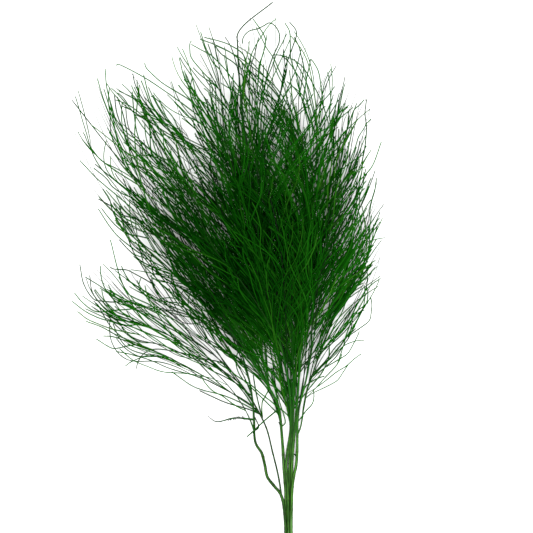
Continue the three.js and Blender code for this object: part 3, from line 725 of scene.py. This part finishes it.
def grow_threads(roots, rule):
    """The threads' lines from root to tip, and the root that each grows from."""
    which = np.arange(rule["count"])
    chance = drawn_for(THREAD_DRAW, rule["kind"], which)
    angle = tip_angles(rule["crowded"], (which * GOLDEN + ANGLE_STIR * chance("angle")) % 1)
    ragged = chance("ragged") ** read(rule["power"], angle)
    share = lerp(rule.get("outermost", 1), read(rule["innermost"], angle), ragged)
    depth = swing(1, chance("depth"))
    tips = place_in_head(angle, share, depth)
    length = lerp(rule["shortest"], read(rule["longest"], angle), chance("length"))
    length = np.minimum(length, rule.get("longest_by_reach", LONGEST_BY_REACH) * reach_in_head(tips))
    along_line = np.linspace(0, 1, THREAD_STEPS)
    phase = 2 * np.pi * (chance("phase")[:, None] + WAVES * along_line)
    turned = swing(LEAN, chance("lean"))[:, None]
    turned = turned + swing(TIP_SWAY, chance("sway"))[:, None] * smoothstep(along_line, SWAY_FROM, 1)
    turned = turned + WAVE_ANGLE * chance("wave")[:, None] * np.sin(phase)
    lines = traced_back(tips, length, either_side(chance("side")) * SIDE_SHIFT, turned)
    lines[..., 2] = height_in_head(share_in_head(lines), depth[:, None])
    chosen = nearest_root(lines[:, 0], unit(lines[:, 2] - lines[:, 0]), roots)
    near = np.linalg.norm(roots["near"][chosen] - lines[:, 0], axis=1) < FARTHEST_LIMB
    near &= reach_in_head(tips) > read(rule["nearest"], angle)
    near[near] = place_in_group(chosen[near]) < MOST_PER_ROOT
    lines, chosen, depth = lines[near], chosen[near], depth[near]
    root = roots["points"][chosen]
    bend = 1 - smoothstep(np.linspace(0, 1, THREAD_STEPS + 1), 0, BEND_SHARE)
    lines[..., :2] += (root - lines[:, 0])[:, None, :2] * bend[:, None]
    share = share_in_head(lines)
    root_depth = depth_in_head(share[:, 0], root[:, 2])
    lines[..., 2] = height_in_head(share, lerp(depth[:, None], root_depth[:, None], bend))
    lines[:, 1:, 2] = settled(lines[:, 1:, 2], THREAD_RADII[0])
    hooked = np.maximum(0, (chance("hook")[near] - UNHOOKED) / (1 - UNHOOKED))
    ending = heading_angle(lines[:, -1] - lines[:, -2])
    curl = swing(CURL, chance("curl")[near]) * (1 + HOOK * hooked) + CURL_UPRIGHT * (STRAIGHT_UP - ending)
    lines = curled(smooth_line(lines, FINER), curl, WIGGLE * chance("wiggle")[near], chance("phase")[near])
    return lines, chosen


STRAY_STEPS = 40
ROOT_THINNESS = 0.5
THIN_UP_TO = 0.4


def grow_strays(near, stems):
    """The stray threads, each moved at its root onto the nearest of these points, and their stems."""
    lines = []
    for depth, route in STRAYS:
        flat = np.array([(x, y, 0) for x, y in route], float)
        line = along(smooth_line(flat, STEM_STEPS), np.linspace(0, 1, STRAY_STEPS + 1))
        line[:, 2] = settled(height_in_head(share_in_head(line), depth), THREAD_RADII[0])
        lines.append(line)
    lines = np.stack(lines)
    chosen = np.array([np.linalg.norm(near - line[0], axis=1).argmin() for line in lines])
    bend = 1 - smoothstep(np.linspace(0, 1, STRAY_STEPS + 1), 0, BEND_SHARE)
    return lines + (near[chosen] - lines[:, 0])[:, None] * bend[:, None], stems[chosen]


# Side shoots of the threads, the bristles at some tips, and the spurs on a twig
OFFSHOOT_DRAW = {"kept": 1, "root": 2, "bend": 3, "side": 4, "length": 5, "sway": 6, "rise": 7}
SHOOT_RULE = {
    "kind": 4, "count": 2, "kept": 0.26, "first": 0.3, "last": 0.8, "longest": 90, "shortest": 30,
    "bend": 6, "bend_range": 12, "sway": 8, "rise": 8, "steps": 8,
}
BRISTLE_RULE = {
    "kind": 5, "count": 3, "kept": 0.12, "first": 0.86, "last": 1.0, "longest": 9, "shortest": 4,
    "bend": 14, "bend_range": 26, "sway": 9, "rise": 20, "steps": 2,
}
SPUR_RULE = {
    "kind": 9, "count": 22, "kept": 1, "first": 0.04, "last": 0.5, "longest": 8, "shortest": 5,
    "bend": 12, "bend_range": 30, "sway": 10, "rise": 20, "steps": 2,
}
SHORTEST_DRAWN = 0.6
DRAWN_RANGE = 0.8
FARTHEST_OUT = 1.04


def grow_offshoots(threads, rule):
    """Lines that leave the threads at small angles and run on beside them, and the threads they leave."""
    parent = np.repeat(np.arange(len(threads)), rule["count"])
    chance = drawn_for(OFFSHOOT_DRAW, rule["kind"], np.arange(len(parent)))
    place = chance("root")
    position = lerp(rule["first"], rule["last"], place) * (threads.shape[1] - 1)
    step = np.minimum(position.astype(int), threads.shape[1] - 2)
    part = (position - step)[:, None]
    near, far = threads[parent, step], threads[parent, step + 1]
    heading = unit(far - near)
    ending = unit(threads[parent, -1] - threads[parent, -2])
    bend = rule["bend"] + rule["bend_range"] * chance("bend")
    start = heading_angle(heading) + either_side(chance("side")) * bend
    finish = heading_angle(ending) + swing(rule["sway"], chance("sway"))
    rise = heading_rise(heading) + swing(rule["rise"], chance("rise"))
    length = lerp(rule["longest"], rule["shortest"], place)
    length = length * (SHORTEST_DRAWN + DRAWN_RANGE * chance("length"))
    share = (np.arange(rule["steps"]) + 0.5) / rule["steps"]
    angle = start[:, None] + (finish - start)[:, None] * share
    stride = direction(angle, rise[:, None] + 0 * angle) * (length / rule["steps"])[:, None, None]
    root = near * (1 - part) + far * part
    lines = np.concatenate([root[:, None], root[:, None] + np.cumsum(stride, axis=1)], axis=1)
    lines[:, 1:, 2] = settled(held_in_head(lines)[:, 1:, 2], SHOOT_RADII[0])
    kept = (chance("kept") < rule["kept"]) & (share_in_head(lines[:, -1]) < FARTHEST_OUT)
    return lines[kept], parent[kept]


# Growing the bunch: stems and forks, then branches, then threads
shoots = []
grown = []
for number, stem in enumerate(STEMS):
    for part in (stem, stem.get("fork")):
        if part:
            line = np.array(part["route"], float)
            radius = STEM_RADIUS if part is stem else FORK_RADII[0]
            grown.append(pieces_of(line, radius))
            fine = smooth_line(line, STEM_STEPS)
            shoots.append({"stem": number, "shoot": part, "line": line, "fine": fine, "branches": []})

for twig in TWIGS:
    grown.append(pieces_of(np.array(twig["route"], float), TWIG_RADII[0]))

for key, entry in enumerate(shoots):
    for number in range(entry["shoot"]["branches"]):
        for attempt in range(TRIES):
            made = grow_branch(entry["shoot"], entry["line"], entry["fine"], key, number, attempt)
            if made and fits(made[1], BRANCH_RADII[0], grown, key):
                grown.append(pieces_of(made[1], BRANCH_RADII[0]))
                entry["branches"].append(made)
                break

# Threads may root along every branch, and along a stem from its first branch up. A root is chosen by
# how near its place on the solid's line is, and lies on the smooth line
ROOT_SPACING = 7
LAST_ROOT_AT = 0.95


def roots_on(fine, coarse, first, stem):
    length = (LAST_ROOT_AT - first) * np.linalg.norm(np.diff(coarse, axis=0), axis=1).sum()
    places = np.linspace(first, LAST_ROOT_AT, max(1, round(length / ROOT_SPACING)) + 1)
    return {
        "points": along(fine, places), "near": along(coarse, places),
        "headings": heading_along(coarse, places), "stems": np.full(len(places), stem),
    }


places = [roots_on(each["fine"], each["line"], each["shoot"]["first"], each["stem"]) for each in shoots]
for entry in shoots:
    places += [roots_on(*branch, 0, entry["stem"]) for branch in entry["branches"]]
roots = {key: np.concatenate([place[key] for place in places]) for key in places[0]}

threads, root_chosen = grow_threads(roots, THREAD_RULE)
inner_threads, inner_chosen = grow_threads(roots, INNER_RULE)
low_threads, low_chosen = grow_threads(roots, LOW_RULE)
side_shoots, shoot_parents = grow_offshoots(threads, SHOOT_RULE)
bristles, bristle_parents = grow_offshoots(threads, BRISTLE_RULE)
thread_stems = roots["stems"][root_chosen]
near_points = np.concatenate([roots["points"], threads.reshape(-1, 3)])
near_stems = np.concatenate([roots["stems"], np.repeat(thread_stems, threads.shape[1])])
strays, stray_stems = grow_strays(near_points, near_stems)

# Each set of threads: lines, the stem of each, how thin they are at the root, radii and sides
thread_sets = [
    (threads, thread_stems, ROOT_THINNESS, THREAD_RADII, THREAD_SIDES),
    (inner_threads, roots["stems"][inner_chosen], ROOT_THINNESS, INNER_RADII, INNER_SIDES),
    (low_threads, roots["stems"][low_chosen], 1, THREAD_RADII, SHOOT_SIDES),
    (strays, stray_stems, 1, STRAY_RADII, THREAD_SIDES),
    (side_shoots, thread_stems[shoot_parents], ROOT_THINNESS, SHOOT_RADII, SHOOT_SIDES),
    (bristles, thread_stems[bristle_parents], 1, BRISTLE_RADII, BRISTLE_SIDES),
]


# Meshes: many tapered tubes in one. Their map has a cell for each tube, in rows of so many columns
STEM_RIDGES = 8
RIDGE_DEPTH = 0.05
MAP_COLUMNS = 192
MAP_FILLED = 0.8
MAP_NAME = "OFBake"


def add_object(name, data):
    made = bpy.data.objects.new(name, data)
    bpy.context.scene.collection.objects.link(made)
    return made


class Tubes:
    """Closed tapered tubes of one piece, with what their material reads at each vertex."""

    def __init__(self):
        self.places = []
        self.faces = []
        self.marks = {"tone": [], "wood": [], "mark": []}
        self.skins = []
        self.map = []
        self.count = 0
        self.tubes = 0

    def add(self, lines, radii, sides, tone, wood=0.0, mark=0.0, ridges=0):
        """lines holds the points of each tube. The rest has a value for all, or for each tube or point."""
        tubes, steps = lines.shape[:2]
        radii = np.broadcast_to(radii, (tubes, steps))
        turn = np.arange(sides) * 2 * np.pi / sides
        heading = unit(np.gradient(lines, axis=1))
        sideways = unit(np.cross(heading, UP))
        lift = np.cross(sideways, heading)
        ridge = 1 + RIDGE_DEPTH * np.cos(ridges * turn) if ridges else 1
        across = radii[..., None] * np.cos(turn) * ridge
        upwards = radii[..., None] * np.sin(turn) * ridge
        rings = lines[:, :, None] + across[..., None] * sideways[:, :, None]
        rings = rings + upwards[..., None] * lift[:, :, None]
        tips = lines[:, -1] + heading[:, -1] * radii[:, -1:]
        places = np.concatenate([rings.reshape(tubes, -1, 3), lines[:, :1], tips[:, None]], axis=1)
        per_tube = places.shape[1]

        def each(values):
            """A value for each vertex, from one for each point of each tube."""
            values = np.broadcast_to(values, (tubes, steps))
            return np.concatenate([np.repeat(values, sides, axis=1), values[:, :1], values[:, -1:]], axis=1)

        self.places.append(places.reshape(-1, 3))
        for name, values in (("tone", np.reshape(tone, (-1, 1))), ("wood", wood), ("mark", mark)):
            self.marks[name].append(each(values).ravel())
        strides = np.linalg.norm(np.diff(lines, axis=1), axis=2)
        travelled = np.concatenate([np.zeros((tubes, 1)), np.cumsum(strides, axis=1)], axis=1)
        ends = np.zeros((tubes, 2))
        skin = [np.concatenate([offsets.reshape(tubes, -1), ends], axis=1) for offsets in (across, upwards)]
        self.skins.append(np.stack([*skin, each(travelled)], axis=-1).reshape(-1, 3))
        turned = np.concatenate([np.tile(np.cos(turn), steps), [0.0, 0.0]])
        number = self.tubes + np.arange(tubes)[:, None]
        column = (number % MAP_COLUMNS + 0.5 + MAP_FILLED / 2 * turned) / MAP_COLUMNS
        row = number // MAP_COLUMNS + MAP_FILLED * each(np.linspace(0, 1, steps))
        self.map.append(np.stack([column, row], axis=-1).reshape(-1, 2))
        self.faces += tube_faces(tubes, steps, sides, per_tube, self.count)
        self.count += tubes * per_tube
        self.tubes += tubes

    def make_piece(self, name, material, node):
        """The piece that stands for a node, with all the tubes in it."""
        mesh = bpy.data.meshes.new(name)
        mesh.from_pydata((np.concatenate(self.places) - middle_of_part) * MM, [], self.faces)
        for mark, values in self.marks.items():
            mesh.attributes.new(mark, "FLOAT", "POINT").data.foreach_set("value", np.concatenate(values))
        skin = np.concatenate(self.skins).ravel()
        mesh.attributes.new("skin", "FLOAT_VECTOR", "POINT").data.foreach_set("vector", skin)
        map_places = np.concatenate(self.map)
        map_places[:, 1] /= self.tubes // MAP_COLUMNS + 1
        corners = np.empty(len(mesh.loops), np.int32)
        mesh.loops.foreach_get("vertex_index", corners)
        mesh.uv_layers.new(name=MAP_NAME).data.foreach_set("uv", map_places[corners].ravel())
        mesh.shade_smooth()
        mesh.materials.append(material)
        piece = add_object(name, mesh)
        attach(piece, "root")
        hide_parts(node)


def tube_faces(tubes, steps, sides, per_tube, first):
    """The walls of each tube as four-sided faces, and its two ends as fans."""
    ring = np.arange(steps - 1)[:, None] * sides
    side = np.arange(sides)
    beside = (side + 1) % sides
    corners = [ring + side, ring + beside, ring + sides + beside, ring + sides + side]
    walls = np.stack(corners, -1).reshape(-1, 4)
    last = (steps - 1) * sides
    centre = np.full(sides, steps * sides)
    root_fan = np.stack([centre, beside, side], -1)
    tip_fan = np.stack([centre + 1, last + side, last + beside], -1)
    start = first + np.arange(tubes)[:, None, None] * per_tube
    faces = []
    for shape in (walls, root_fan, tip_fan):
        faces += (shape[None] + start).reshape(-1, shape.shape[1]).tolist()
    return faces


# Materials
COLOUR_SOCKETS = 6, 7
MIXED_SOCKET = 2
NOISE_ROUGHNESS = 0.55
NOISE_LOW = 0.3
NOISE_HIGH = 0.7


def node_material(name, specular):
    material = bpy.data.materials.new(name)
    material.use_nodes = True
    shader = material.node_tree.nodes["Principled BSDF"]
    shader.inputs["Specular IOR Level"].default_value = specular
    return material, shader


class Nodes:
    """Short ways to add the nodes of one material. A value may be a number or another node's socket."""

    def __init__(self, material):
        self.tree = material.node_tree

    def add(self, kind, inputs=None, **settings):
        node = self.tree.nodes.new(kind)
        for setting, value in settings.items():
            setattr(node, setting, value)
        for socket, value in (inputs or {}).items():
            if isinstance(value, bpy.types.NodeSocket):
                self.tree.links.new(value, node.inputs[socket])
            else:
                node.inputs[socket].default_value = value
        return node

    def place(self):
        return self.add("ShaderNodeTexCoord").outputs["Object"]

    def mark(self, attribute):
        return self.add("ShaderNodeAttribute", attribute_name=attribute).outputs["Fac"]

    def noise(self, vector, scale, detail=3.0):
        inputs = {"Vector": vector, "Scale": scale, "Detail": detail, "Roughness": NOISE_ROUGHNESS}
        return self.add("ShaderNodeTexNoise", inputs).outputs["Fac"]

    def math(self, operation, first, second):
        return self.add("ShaderNodeMath", {0: first, 1: second}, operation=operation).outputs[0]

    def vector(self, operation, first, second):
        return self.add("ShaderNodeVectorMath", {0: first, 1: second}, operation=operation).outputs[0]

    def length(self, vector):
        return self.add("ShaderNodeVectorMath", {0: vector}, operation="LENGTH").outputs["Value"]

    def ramp(self, value, stops):
        node = self.add("ShaderNodeValToRGB", {"Fac": value})
        points = node.color_ramp.elements
        while len(points) < len(stops):
            points.new(0.5)
        for point, (place, colour) in zip(points, stops):
            point.position = place
            point.color = (*colour, 1)
        return node.outputs["Color"]

    def mix(self, share, *colours):
        inputs = {"Factor": share}
        for socket, colour in zip(COLOUR_SOCKETS, colours):
            inputs[socket] = colour if isinstance(colour, bpy.types.NodeSocket) else (*colour, 1)
        return self.add("ShaderNodeMix", inputs, data_type="RGBA").outputs[MIXED_SOCKET]

    def range(self, value, low, high, to_low, to_high):
        inputs = {"Value": value, "From Min": low, "From Max": high, "To Min": to_low, "To Max": to_high}
        return self.add("ShaderNodeMapRange", inputs).outputs["Result"]

    def spread(self, noise, to_low, to_high):
        """The noise's usual range, spread from one value to another."""
        return self.range(noise, NOISE_LOW, NOISE_HIGH, to_low, to_high)

    def finish(self, shader, colour, shade, grain, roughness, bump):
        """The shader takes the colour times its shade, which on stalks holds painted shade, and a roughness
        and a bump that follow the grain.
        """
        strength, depth = bump
        shaded = self.add("ShaderNodeVectorMath", {0: colour, "Scale": shade}, operation="SCALE").outputs[0]
        bumped = self.add("ShaderNodeBump", {"Height": grain, "Strength": strength, "Distance": depth})
        self.tree.links.new(shaded, shader.inputs["Base Color"])
        self.tree.links.new(self.spread(grain, *roughness), shader.inputs["Roughness"])
        self.tree.links.new(bumped.outputs["Normal"], shader.inputs["Normal"])


# Thread greens: a darker set painted in the heart of the bunch as painted shade, and a lighter, lit set
# away from it; each thread's own tone picks within each set
SHADED_DEEP_GREEN = (0.0002, 0.0058, 0.0002)
DYED_GREEN = (0.0006, 0.0220, 0.0005)
SHADED_LEAF_GREEN = (0.0042, 0.055, 0.0017)
LIT_OUTER_DYED = (0.0044, 0.072, 0.0019)
LIT_OUTER_LEAF = (0.0105, 0.108, 0.0045)
OLIVE_GREEN = (0.0310, 0.116, 0.0090)
STEM_SHADE = (0.0022, 0.010, 0.0017)
STEM_GREEN = (0.018, 0.078, 0.006)
STEM_PALE = (0.064, 0.182, 0.024)
SHEATH_PALE = (0.085, 0.200, 0.052)
NODE_BROWN = (0.014, 0.016, 0.006)
CUT_STRAW = (0.240, 0.220, 0.110)
SHADED_HEART_TONES = [(0.0, SHADED_DEEP_GREEN), (0.5, DYED_GREEN), (1.0, SHADED_LEAF_GREEN)]
LIT_OUTER_TONES = [(0.0, DYED_GREEN), (0.3, LIT_OUTER_DYED), (0.85, LIT_OUTER_LEAF), (1.0, OLIVE_GREEN)]
STREAK_TONES = [(0.36, STEM_SHADE), (0.5, STEM_GREEN), (0.66, STEM_PALE)]

# The bunch's heart, in metres from the middle of the part, gets painted shade: its threads are painted
# darker
SHADED_HEART = (0.020, 0.045, 0.045)
SHADED_HEART_STRETCH = (1, 0.72, 1)
SHADED_HEART_RADIUS = 0.06
SHADED_HEART_FADES_BY = 0.15
LIT_OUTSIDE_SHARE = 0.9
PATCH_SCALE = 9
PATCH_DETAIL = 2
PATCH_SHIFTS = -0.2, 0.2

# Each bump is its strength, and its depth in metres
THREAD_SPECULAR = 0.0
SPECK_SCALE = 900
SPECK_SHADES = 0.75, 1.25
SPECK_ROUGHNESS = 0.5, 0.75
SPECK_BUMP = 0.3, 0.0001
STALK_SPECULAR = 0.08
STREAK_STRETCH = (0.9, 0.9, 0.035)
STREAK_SCALE = 2.2
STREAK_DETAIL = 4
TONE_RANGE = 0.06
FINE_STREAK_SCALE = 7
FINE_SHADES = 0.8, 1.2
FINE_ROUGHNESS = 0.34, 0.6
FINE_BUMP = 0.5, 0.0002

# Painted shade: the flanks of round stalks are painted darker than their backs, up to these heights in
# millimetres
FLANK_PAINTED_SHADE = 0.28
FLANK_DARK_BELOW = 0.5
FLANK_LIGHT_FROM = 0.9
WOOD_DARK_BELOW = 0.8
WOOD_LIGHT_FROM = 1.6

# Pale sheaths cover the foot, up to about so many millimetres from the cut end
SHEATH_END = 24
SHEATH_VARIES = 40
SHEATH_FADE = 5
SHEATH_SHARE = 0.6


def thread_colour(nodes, place):
    """Each thread has its own tone, in broad patches, and painted shade makes it darker in the heart of the
    bunch.
    """
    tone = nodes.mark("tone")
    patch = nodes.noise(place, PATCH_SCALE, PATCH_DETAIL)
    away = nodes.length(nodes.vector("MULTIPLY", nodes.vector("SUBTRACT", place, SHADED_HEART), SHADED_HEART_STRETCH))
    # Painted shade: the share of the lighter, lit greens grows away from the heart, and the patches add
    # their own random change
    outside = nodes.range(away, SHADED_HEART_RADIUS, SHADED_HEART_FADES_BY, 0.0, LIT_OUTSIDE_SHARE)
    patched = nodes.math("ADD", outside, nodes.spread(patch, *PATCH_SHIFTS))
    return nodes.mix(patched, nodes.ramp(tone, SHADED_HEART_TONES), nodes.ramp(tone, LIT_OUTER_TONES))


def make_thread_material():
    material, shader = node_material("dyed_threads_painted_shade", THREAD_SPECULAR)
    nodes = Nodes(material)
    place = nodes.place()
    speck = nodes.noise(place, SPECK_SCALE)
    shade = nodes.spread(speck, *SPECK_SHADES)
    nodes.finish(shader, thread_colour(nodes, place), shade, speck, SPECK_ROUGHNESS, SPECK_BUMP)
    return material


def stalk_colour(nodes, skin, wood):
    """Threads' green with its painted shade on thin stalks, streaked wood on stems, a pale sheath, brown
    nodes and a cut end.
    """
    own_tone = nodes.mark("tone")
    tone = nodes.range(own_tone, 0, 1, -TONE_RANGE, TONE_RANGE)
    streak = nodes.math("ADD", nodes.noise(streaked(nodes, skin), STREAK_SCALE, STREAK_DETAIL), tone)
    least, most = SHEATH_END - SHEATH_VARIES / 2, SHEATH_END + SHEATH_VARIES / 2
    along_stalk = nodes.add("ShaderNodeSeparateXYZ", {0: skin}).outputs["Z"]
    past_end = nodes.math("SUBTRACT", along_stalk, nodes.range(own_tone, 0, 1, least, most))
    sheathed = nodes.range(past_end, -SHEATH_FADE, SHEATH_FADE, SHEATH_SHARE, 0)
    bare = nodes.mix(sheathed, nodes.ramp(streak, STREAK_TONES), SHEATH_PALE)
    colour = nodes.mix(wood, thread_colour(nodes, nodes.place()), bare)
    mark = nodes.mark("mark")
    noded = nodes.mix(nodes.range(mark, 0, 1, 0, 1), colour, NODE_BROWN)
    return nodes.mix(nodes.range(mark, 0, -1, 0, 1), noded, CUT_STRAW)


def streaked(nodes, skin):
    return nodes.vector("MULTIPLY", skin, STREAK_STRETCH)


def make_stalk_material():
    material, shader = node_material("dyed_stalks_painted_shade", STALK_SPECULAR)
    nodes = Nodes(material)
    skin = nodes.add("ShaderNodeAttribute", attribute_name="skin").outputs["Vector"]
    wood = nodes.mark("wood")
    height = nodes.add("ShaderNodeSeparateXYZ", {0: skin}).outputs["Y"]
    dark_below = nodes.range(wood, 0, 1, FLANK_DARK_BELOW, WOOD_DARK_BELOW)
    light_from = nodes.range(wood, 0, 1, FLANK_LIGHT_FROM, WOOD_LIGHT_FROM)
    # Painted shade: each stalk is painted darker below a height across it, a greater height on the woody
    # stems
    painted_flank_shade = nodes.range(height, dark_below, light_from, FLANK_PAINTED_SHADE, 1.0)
    fine_streak = nodes.noise(streaked(nodes, skin), FINE_STREAK_SCALE)
    # The shade is the stalk's own fine streaks times the painted flank shade
    shade = nodes.math("MULTIPLY", nodes.spread(fine_streak, *FINE_SHADES), painted_flank_shade)
    colour = stalk_colour(nodes, skin, wood)
    nodes.finish(shader, colour, shade, fine_streak, FINE_ROUGHNESS, FINE_BUMP)
    return material


# Stalks: stems, forks, branches, twigs and stubs
STALK_KIND = 6
STALK_DRAW = {"tone": 1, "branch": 2, "twig": 3}
STEM_SPACING = 1.1
STRAIGHT_SHARE = 0.35
FORK_WOOD = 0.5
NODE_SPACING = 34
NODE_SPACING_LEAST = 0.6
NODE_SPACING_RANGE = 0.8
NODE_LENGTH = 2.2
NODE_SWELL = 0.1
NODES_UP_TO = 0.45
NODE_MARK = 0.5
NODE_MARK_POWER = 3
COLLAR_SHARE = 0.05
COLLAR_SWELL = 0.45
CUT_LENGTH = 1.2
CUT_MARK = -1
WOODY_UP_TO = 90
GREEN_FROM = 230


def stem_radii(line, radii):
    share = np.linspace(0, 1, len(line))
    return lerp(*radii, np.maximum(0, share - STRAIGHT_SHARE) / (1 - STRAIGHT_SHARE))


def add_stem(tubes, line, key, ends, is_cut):
    """A stem with nodes that swell and darken, close together low on it, and a pale cut end."""
    fine, places, travelled = resampled(line, STEM_SPACING)
    radii = np.interp(places, travelled, stem_radii(line, ends))
    mark = np.zeros(len(fine))
    node = NODE_SPACING * float(draw(STALK_KIND, key))
    while node < travelled[-1] * NODES_UP_TO:
        near = np.exp(-((places - node) / NODE_LENGTH) ** 2)
        radii = radii * (1 + NODE_SWELL * near)
        mark = np.maximum(mark, NODE_MARK * near ** NODE_MARK_POWER)
        drawn = float(draw(STALK_KIND, key, int(node)))
        node += NODE_SPACING * (NODE_SPACING_LEAST + NODE_SPACING_RANGE * drawn)
    if is_cut:
        mark = np.where(places < CUT_LENGTH, CUT_MARK, mark)
    fine[:, 2] = np.maximum(fine[:, 2], radii * (1 + RIDGE_DEPTH))
    wood = (1 if is_cut else FORK_WOOD) * (1 - smoothstep(places, WOODY_UP_TO, GREEN_FROM))
    tone = draw(STALK_KIND, key, STALK_DRAW["tone"])
    tubes.add(fine[None], radii, STEM_SIDES, tone, wood, mark, STEM_RIDGES)


def add_branch(tubes, line, tone):
    share = np.linspace(0, 1, len(line))
    collar = COLLAR_SWELL * np.exp(-(share / COLLAR_SHARE) ** 2)
    tubes.add(line[None], lerp(*BRANCH_RADII, share) * (1 + collar), BRANCH_SIDES, tone)


def tapered(radii, steps):
    return lerp(*radii, np.linspace(0, 1, steps + 1))


def add_twig(tubes, route, radii, tone):
    line = smooth_line(route, STEM_STEPS)
    tubes.add(line[None], tapered(radii, len(line) - 1), TWIG_SIDES, tone)
    return line


def add_spurs(tubes, line):
    spurs, _ = grow_offshoots(line[None], SPUR_RULE)
    tubes.add(spurs, tapered(SPUR_RADII, SPUR_RULE["steps"]), SHOOT_SIDES, 0.0)


def thread_radii(radii, thinness, steps):
    """Most threads are thin where they leave a branch, and soon thicken."""
    thickened = smoothstep(np.linspace(0, 1, steps + 1), 0, THIN_UP_TO)
    return tapered(radii, steps) * lerp(thinness, 1, thickened)


def make_stalks(number, stem):
    stalks = Tubes()
    for key, entry in enumerate(shoots):
        if entry["stem"] == number:
            is_stem = entry["shoot"] is stem
            add_stem(stalks, entry["fine"], key, STEM_RADII if is_stem else FORK_RADII, is_stem)
            for place, (line, _) in enumerate(entry["branches"]):
                add_branch(stalks, line, draw(STALK_KIND, key, place, STALK_DRAW["branch"]))
    for place, twig in enumerate(TWIGS):
        if twig["stem"] == stem["name"]:
            tone = draw(STALK_KIND, place, STALK_DRAW["twig"])
            line = add_twig(stalks, twig["route"], twig["radii"], tone)
            if twig.get("spurs"):
                add_spurs(stalks, line)
    for name, route in STUBS:
        if name == stem["name"]:
            add_twig(stalks, route, STUB_RADII, 0.0)
    stalks.make_piece(stem["name"] + "_stalks", stalk_material, stem["name"])


def make_threads(number, stem):
    tubes = Tubes()
    for level, (lines, stems, thinness, radii, sides) in enumerate(thread_sets):
        own = np.flatnonzero(stems == number)
        if len(own):
            tone = draw(THREAD_RULE["kind"], own, THREAD_DRAW["tone"], level)
            tubes.add(lines[own], thread_radii(radii, thinness, lines.shape[1] - 1), sides, tone)
    tubes.make_piece(stem["name"] + "_threads", thread_material, stem["name"])


CENTRE_STEM = "stem_centre"
CUT_WITHIN = 0.01


def part_middle():
    """The middle of the part's own box in working millimetres, from the centre stem's cut end."""
    places = np.array([vertex.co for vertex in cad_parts[CENTRE_STEM].data.vertices]) / MM
    cut = places[places[:, 1] < places[:, 1].min() + CUT_WITHIN]
    start = next(stem["route"][0] for stem in STEMS if stem["name"] == CENTRE_STEM)
    return np.array([start[0] - cut[:, 0].mean(), start[1] - cut[:, 1].mean(), 0.0])


middle_of_part = part_middle()
thread_material = make_thread_material()
stalk_material = make_stalk_material()
for number, stem in enumerate(STEMS):
    make_stalks(number, stem)
    make_threads(number, stem)

# Floor, light and camera
FLOOR_SIZE = 30
FLOOR_COLOUR = (0.9, 0.9, 0.9, 1)
FLOOR_ROUGHNESS = 0.9
FLOOR_SPECULAR = 0.1
WORLD_COLOUR = (1, 1, 1, 1)
WORLD_STRENGTH = 0.7
SUN_STRENGTH = 4.8
SUN_SOFTNESS = 25
SUN_TILT = 4
SUN_TURN = 35
PHOTO_PIXELS = 533
MM_PER_PIXEL = 1.3
FOOT_X_PIXEL = 288.6
LENS = 400
SENSOR = 36
SEEN_HEIGHT = 45


def make_floor():
    bpy.ops.mesh.primitive_plane_add(size=FLOOR_SIZE)
    floor = bpy.context.object
    floor.name = "floor"
    material, shader = node_material("pale_floor", FLOOR_SPECULAR)
    shader.inputs["Base Color"].default_value = FLOOR_COLOUR
    shader.inputs["Roughness"].default_value = FLOOR_ROUGHNESS
    floor.data.materials.append(material)


def make_light():
    world = bpy.data.worlds.new("studio")
    world.use_nodes = True
    background = world.node_tree.nodes["Background"]
    background.inputs["Color"].default_value = WORLD_COLOUR
    background.inputs["Strength"].default_value = WORLD_STRENGTH
    bpy.context.scene.world = world
    lamp = bpy.data.lights.new("soft_sun", "SUN")
    lamp.energy = SUN_STRENGTH
    lamp.angle = math.radians(SUN_SOFTNESS)
    add_object("soft_sun", lamp).rotation_euler = (math.radians(SUN_TILT), 0, math.radians(SUN_TURN))


def make_camera():
    """Straight above the middle of the photograph's frame, far enough for a flat view of it."""
    frame_width = PHOTO_PIXELS * MM_PER_PIXEL
    middle_x = (PHOTO_PIXELS / 2 - FOOT_X_PIXEL) * MM_PER_PIXEL
    data = bpy.data.cameras.new("camera")
    data.lens = LENS
    data.sensor_width = SENSOR
    camera = add_object("camera", data)
    distance = frame_width * LENS / SENSOR
    place = np.array([middle_x, frame_width / 2, SEEN_HEIGHT + distance]) - middle_of_part
    camera.location = place * MM
    bpy.context.scene.camera = camera


make_floor()
make_light()
make_camera()
bpy.context.scene.view_settings.view_transform = "Standard"
